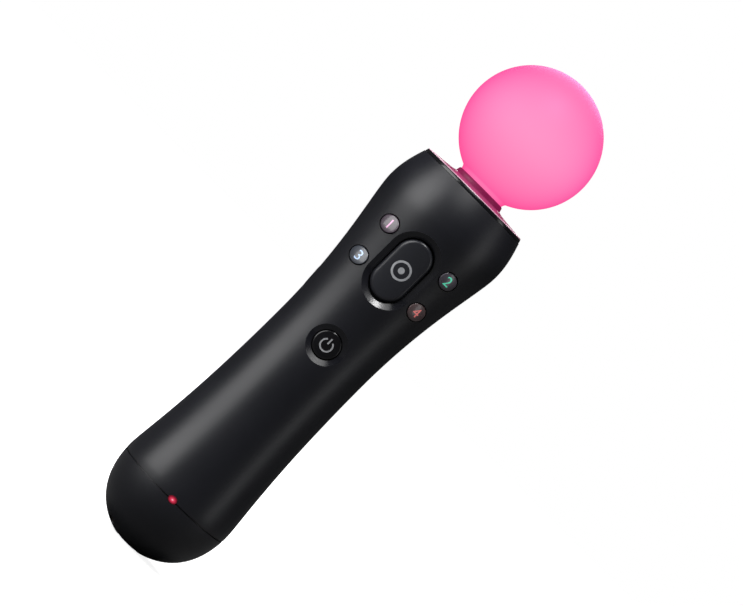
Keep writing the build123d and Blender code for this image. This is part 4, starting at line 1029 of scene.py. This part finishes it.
def make_trigger():
    """Hollow lever with a soft-edged finger face."""
    centre_z = (TRIGGER_TOP + TRIGGER_BASE) / 2
    half_z = (TRIGGER_TOP - TRIGGER_BASE) / 2
    outline = rounded_box((-TRIGGER_HALF_WIDTH, centre_z - half_z), (TRIGGER_HALF_WIDTH, centre_z + half_z),
                          TRIGGER_CORNER)
    outline = divided(outline, 0.7)

    def ring_at(inward, lift):
        ring = []
        for x, z in outline:
            scaled_x = x * (TRIGGER_HALF_WIDTH - inward) / TRIGGER_HALF_WIDTH
            scaled_z = centre_z + (z - centre_z) * (half_z - inward) / half_z
            ring.append((scaled_x, face_depth(scaled_x, scaled_z) - lift, scaled_z))
        return ring

    rings = [[(x, sqrt(TRIGGER_INNER_RADIUS ** 2 - x ** 2), z) for x, z in outline],
             ring_at(0.0, TRIGGER_ROUNDING)]
    edge_steps = 7
    for k in range(1, edge_steps + 1):
        angle = pi / 2 * k / edge_steps
        rings.append(ring_at(TRIGGER_ROUNDING * (1 - cos(angle)), TRIGGER_ROUNDING * (1 - sin(angle))))
    face_steps = 16
    reach = TRIGGER_HALF_WIDTH - TRIGGER_MIDDLE - TRIGGER_ROUNDING
    for k in range(1, face_steps + 1):
        rings.append(ring_at(TRIGGER_ROUNDING + reach * k / face_steps, 0.0))
    verts, faces = prism(rings)
    lever = piece("trigger_lever", verts, faces, trigger_black, "trigger_body", ("trigger",))
    inside = rounded_box((-TRIGGER_HALF_WIDTH + TRIGGER_WALL, TRIGGER_BASE + TRIGGER_WALL),
                         (TRIGGER_HALF_WIDTH - TRIGGER_WALL, TRIGGER_TOP - TRIGGER_WALL),
                         TRIGGER_HOLLOW_CORNER, 3)
    inside = divided(inside, 1.2)
    hollow_steps = 8
    hollow = column(inside, TRIGGER_HOLLOW_START)
    hollow.append([(x, face_depth(x, z, TRIGGER_WALL), z) for x, z in inside])
    for k in range(1, hollow_steps + 1):
        share = 1 - k / (hollow_steps + 0.2)
        nearer = [(x * share, centre_z + (z - centre_z) * share) for x, z in inside]
        hollow.append([(x, face_depth(x, z, TRIGGER_WALL), z) for x, z in nearer])
    cut(lever, [prism(hollow)])


make_trigger()


# Marks on the buttons
def mark(name, points, faces, surface, material, body, slot):
    """Thin printed shape from (x, z) points, laid on a button's face."""
    lift = 0.012
    sink = 0.03
    mesh = bpy.data.meshes.new(name)
    mesh.from_pydata([Vector((x, surface(x, z) - lift, z)) * MM for x, z in points], [], faces)
    work = bmesh.new()
    work.from_mesh(mesh)
    bmesh.ops.remove_doubles(work, verts=work.verts, dist=0.0005 * MM)
    grown = bmesh.ops.extrude_face_region(work, geom=work.faces[:])
    moved = [v for v in grown["geom"] if isinstance(v, bmesh.types.BMVert)]
    bmesh.ops.translate(work, verts=moved, vec=Vector((0, (lift + sink) * MM, 0)))
    bmesh.ops.recalc_face_normals(work, faces=work.faces)
    work.to_mesh(mesh)
    work.free()
    mesh.shade_smooth()
    mesh.set_sharp_from_angle(angle=radians(40))
    mesh.materials.append(material)
    obj = bpy.data.objects.new(name, mesh)
    bpy.context.scene.collection.objects.link(obj)
    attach(obj, body)


def band(centre, inner, outer, start, end, steps=72, across=3):
    """Flat arc band as (x, z) points and faces, by angles in degrees from +X."""
    points, faces = [], []
    for k in range(steps + 1):
        angle = radians(start + (end - start) * k / steps)
        for j in range(across + 1):
            radius = inner + (outer - inner) * j / across
            points.append((centre[0] + radius * cos(angle), centre[1] + radius * sin(angle)))
    width = across + 1
    for k in range(steps):
        for j in range(across):
            a = k * width + j
            faces.append((a, a + 1, a + 1 + width, a + width))
    return points, faces


def bar(centre, half_width, half_height, steps=8):
    """Flat upright bar as (x, z) points and faces."""
    points, faces = [], []
    for k in range(steps + 1):
        z = centre[1] - half_height + 2 * half_height * k / steps
        points += [(centre[0] - half_width, z), (centre[0], z), (centre[0] + half_width, z)]
    for k in range(steps):
        for j in range(2):
            a = k * 3 + j
            faces.append((a, a + 1, a + 4, a + 3))
    return points, faces


def numeral(text, size, centre):
    """Plain digit as (x, z) points and faces, finely divided so that it can bend."""
    curve = bpy.data.curves.new("digit", "FONT")
    curve.body = text
    curve.size = size
    curve.align_x = "CENTER"
    curve.align_y = "CENTER"
    curve.resolution_u = 6
    source = bpy.data.objects.new("digit", curve)
    bpy.context.scene.collection.objects.link(source)
    bpy.context.view_layer.update()
    mesh = bpy.data.meshes.new_from_object(source)
    bpy.data.objects.remove(source)
    work = bmesh.new()
    work.from_mesh(mesh)
    bmesh.ops.remove_doubles(work, verts=work.verts, dist=0.001)
    bmesh.ops.triangulate(work, faces=work.faces)
    longest, rounds = 0.35, 4
    for _ in range(rounds):
        long_edges = [e for e in work.edges if e.calc_length() > longest]
        if not long_edges:
            break
        bmesh.ops.subdivide_edges(work, edges=long_edges, cuts=1)
        bmesh.ops.triangulate(work, faces=work.faces)
    xs = [v.co.x for v in work.verts]
    ys = [v.co.y for v in work.verts]
    shift = ((min(xs) + max(xs)) / 2, (min(ys) + max(ys)) / 2)
    work.verts.index_update()
    points = [(v.co.x - shift[0] + centre[0], v.co.y - shift[1] + centre[1]) for v in work.verts]
    faces = [tuple(v.index for v in f.verts) for f in work.faces]
    work.free()
    return points, faces


ring_mark = joined([band((0, LARGE_CENTRE), *RING_RADII, 0, 360),
                    band((0, LARGE_CENTRE), 0.0, DOT_RADIUS, 0, 360)])
mark("large_button_mark", *ring_mark, large_face, grey_ink, "large_button_body", "clear_lens")
power_mark = joined([band((0, HOME_CENTRE - POWER_DROP), *POWER_RADII, *POWER_ARC),
                     bar((0, HOME_CENTRE + POWER_BAR_RISE), POWER_BAR_HALF_WIDTH, POWER_BAR_HALF_HEIGHT)])
mark("home_button_mark", *power_mark, home_face, light_ink, "home_button_body", "clear_lens")
for name, place in ROUND_PLACES.items():
    points, faces = numeral(DIGITS[name], DIGIT_SIZE, place)
    mark(f"{name}_digit", points, faces, dome_surface(*place), print_inks_with_painted_glow[name], f"{name}_body",
         "clear_lens")


# Stage and light
def make_floor():
    """Wide white floor that keeps a soft shadow."""
    mesh = bpy.data.meshes.new("floor")
    far = 3.0
    mesh.from_pydata([(-far, -far, 0), (far, -far, 0), (far, far, 0), (-far, far, 0)], [], [(0, 1, 2, 3)])
    material, principled = shader("floor_white")
    nodes = material.node_tree.nodes
    put(principled, Base_Color=(0.7, 0.7, 0.7, 1), Roughness=0.9, Specular_IOR_Level=0.0)
    path = nodes.new("ShaderNodeLightPath")
    glow = nodes.new("ShaderNodeEmission")
    place = nodes.new("ShaderNodeTexCoord")
    away = nodes.new("ShaderNodeVectorMath")
    away.operation = "LENGTH"
    link(place, "Object", away, 0)
    level = nodes.new("ShaderNodeMapRange")
    put(level, From_Min=0.1, From_Max=0.6, To_Min=0.86, To_Max=1.0)
    link(away, "Value", level, "Value")
    link(level, "Result", glow, "Strength")
    dark = nodes.new("ShaderNodeBsdfDiffuse")
    put(dark, Color=(0.1, 0.1, 0.1, 1))
    both = nodes.new("ShaderNodeAddShader")
    choose = nodes.new("ShaderNodeMixShader")
    output = nodes["Material Output"]
    link(principled, "BSDF", both, 0)
    link(glow, "Emission", both, 1)
    link(path, "Is Camera Ray", choose, "Fac")
    link(dark, "BSDF", choose, 1)
    link(both, 0, choose, 2)
    link(choose, 0, output, "Surface")
    mesh.materials.append(material)
    floor = bpy.data.objects.new("floor", mesh)
    bpy.context.scene.collection.objects.link(floor)


def make_world():
    """White to the camera, dim to the object."""
    world = bpy.data.worlds.new("studio")
    bpy.context.scene.world = world
    world.use_nodes = True
    tree = world.node_tree
    back = tree.nodes["Background"]
    put(back, Color=(1, 1, 1, 1))
    path = tree.nodes.new("ShaderNodeLightPath")
    seen = tree.nodes.new("ShaderNodeMath")
    seen.operation = "MAXIMUM"
    link(path, "Is Camera Ray", seen, 0)
    link(path, "Is Transmission Ray", seen, 1)
    level = tree.nodes.new("ShaderNodeMapRange")
    put(level, To_Min=0.03, To_Max=1.0)
    link(seen, 0, level, "Value")
    link(level, "Result", back, "Strength")


def softbox(name, place, aim, width, height, power):
    """Soft rectangular lamp."""
    lamp = bpy.data.lights.new(name, "AREA")
    lamp.shape = "RECTANGLE"
    lamp.size = width
    lamp.size_y = height
    lamp.energy = power
    obj = bpy.data.objects.new(name, lamp)
    direction = Vector(aim) - Vector(place)
    obj.matrix_world = Matrix.Translation(place) @ direction.to_track_quat("-Z", "Y").to_matrix().to_4x4()
    bpy.context.scene.collection.objects.link(obj)


make_floor()
make_world()
softbox("left_box", (-0.56, -0.28, 0.13), (0, 0, 0.1), 0.48, 0.8, 5.8)
softbox("right_box", (0.62, -0.2, 0.13), (0, 0, 0.1), 0.16, 0.8, 0.7)
softbox("top_box", (-0.1, -0.34, 0.95), (0, 0, 0.1), 0.26, 0.36, 9.0)
softbox("front_box", (-0.15, -0.9, 1.15), (0, 0, 0.15), 0.7, 0.5, 3.4)
softbox("rear_box", (0.0, 0.72, 0.62), (0, 0, 0.1), 0.5, 0.4, 6.0)

# Camera at the photograph's angle
PHOTO_WIDTH = 743
PHOTO_HEIGHT = 606
BALL_PIXEL = (531.0, 137.8)
PIXELS_PER_MM = 3.22
CAMERA_DISTANCE = 1300.0
CAMERA_HEIGHT = 140.0
CAMERA_AZIMUTH = radians(-2.1)
CAMERA_ROLL = radians(45)


def make_camera():
    """Long lens, turned so that the wand leans up to the right as in the photograph."""
    lens = bpy.data.cameras.new("camera")
    lens.sensor_width = 36.0
    lens.lens = PIXELS_PER_MM * CAMERA_DISTANCE / PHOTO_WIDTH * lens.sensor_width
    lens.clip_end = 20.0
    place = Vector((CAMERA_DISTANCE * sin(CAMERA_AZIMUTH), -CAMERA_DISTANCE * cos(CAMERA_AZIMUTH),
                    CAMERA_HEIGHT))
    side = Vector((cos(CAMERA_AZIMUTH), sin(CAMERA_AZIMUTH), 0))
    off_x = PHOTO_WIDTH / 2 - BALL_PIXEL[0]
    off_y = PHOTO_HEIGHT / 2 - BALL_PIXEL[1]
    along = (off_x * cos(CAMERA_ROLL) - off_y * sin(CAMERA_ROLL)) / PIXELS_PER_MM
    across = (off_x * sin(CAMERA_ROLL) + off_y * cos(CAMERA_ROLL)) / PIXELS_PER_MM
    target = side * across + Vector((0, 0, BALL_CENTRE_HEIGHT + along))
    forward = (target - place).normalized()
    right = forward.cross(Vector((0, 0, 1))).normalized()
    up = right.cross(forward)
    image_up = up * cos(CAMERA_ROLL) - right * sin(CAMERA_ROLL)
    image_right = right * cos(CAMERA_ROLL) + up * sin(CAMERA_ROLL)
    turn = Matrix((image_right, image_up, -forward)).transposed().to_4x4()
    camera = bpy.data.objects.new("camera", lens)
    camera.matrix_world = Matrix.Translation(place * MM) @ turn
    bpy.context.scene.collection.objects.link(camera)
    bpy.context.scene.camera = camera


make_camera()
bpy.context.scene.view_settings.view_transform = "Standard"
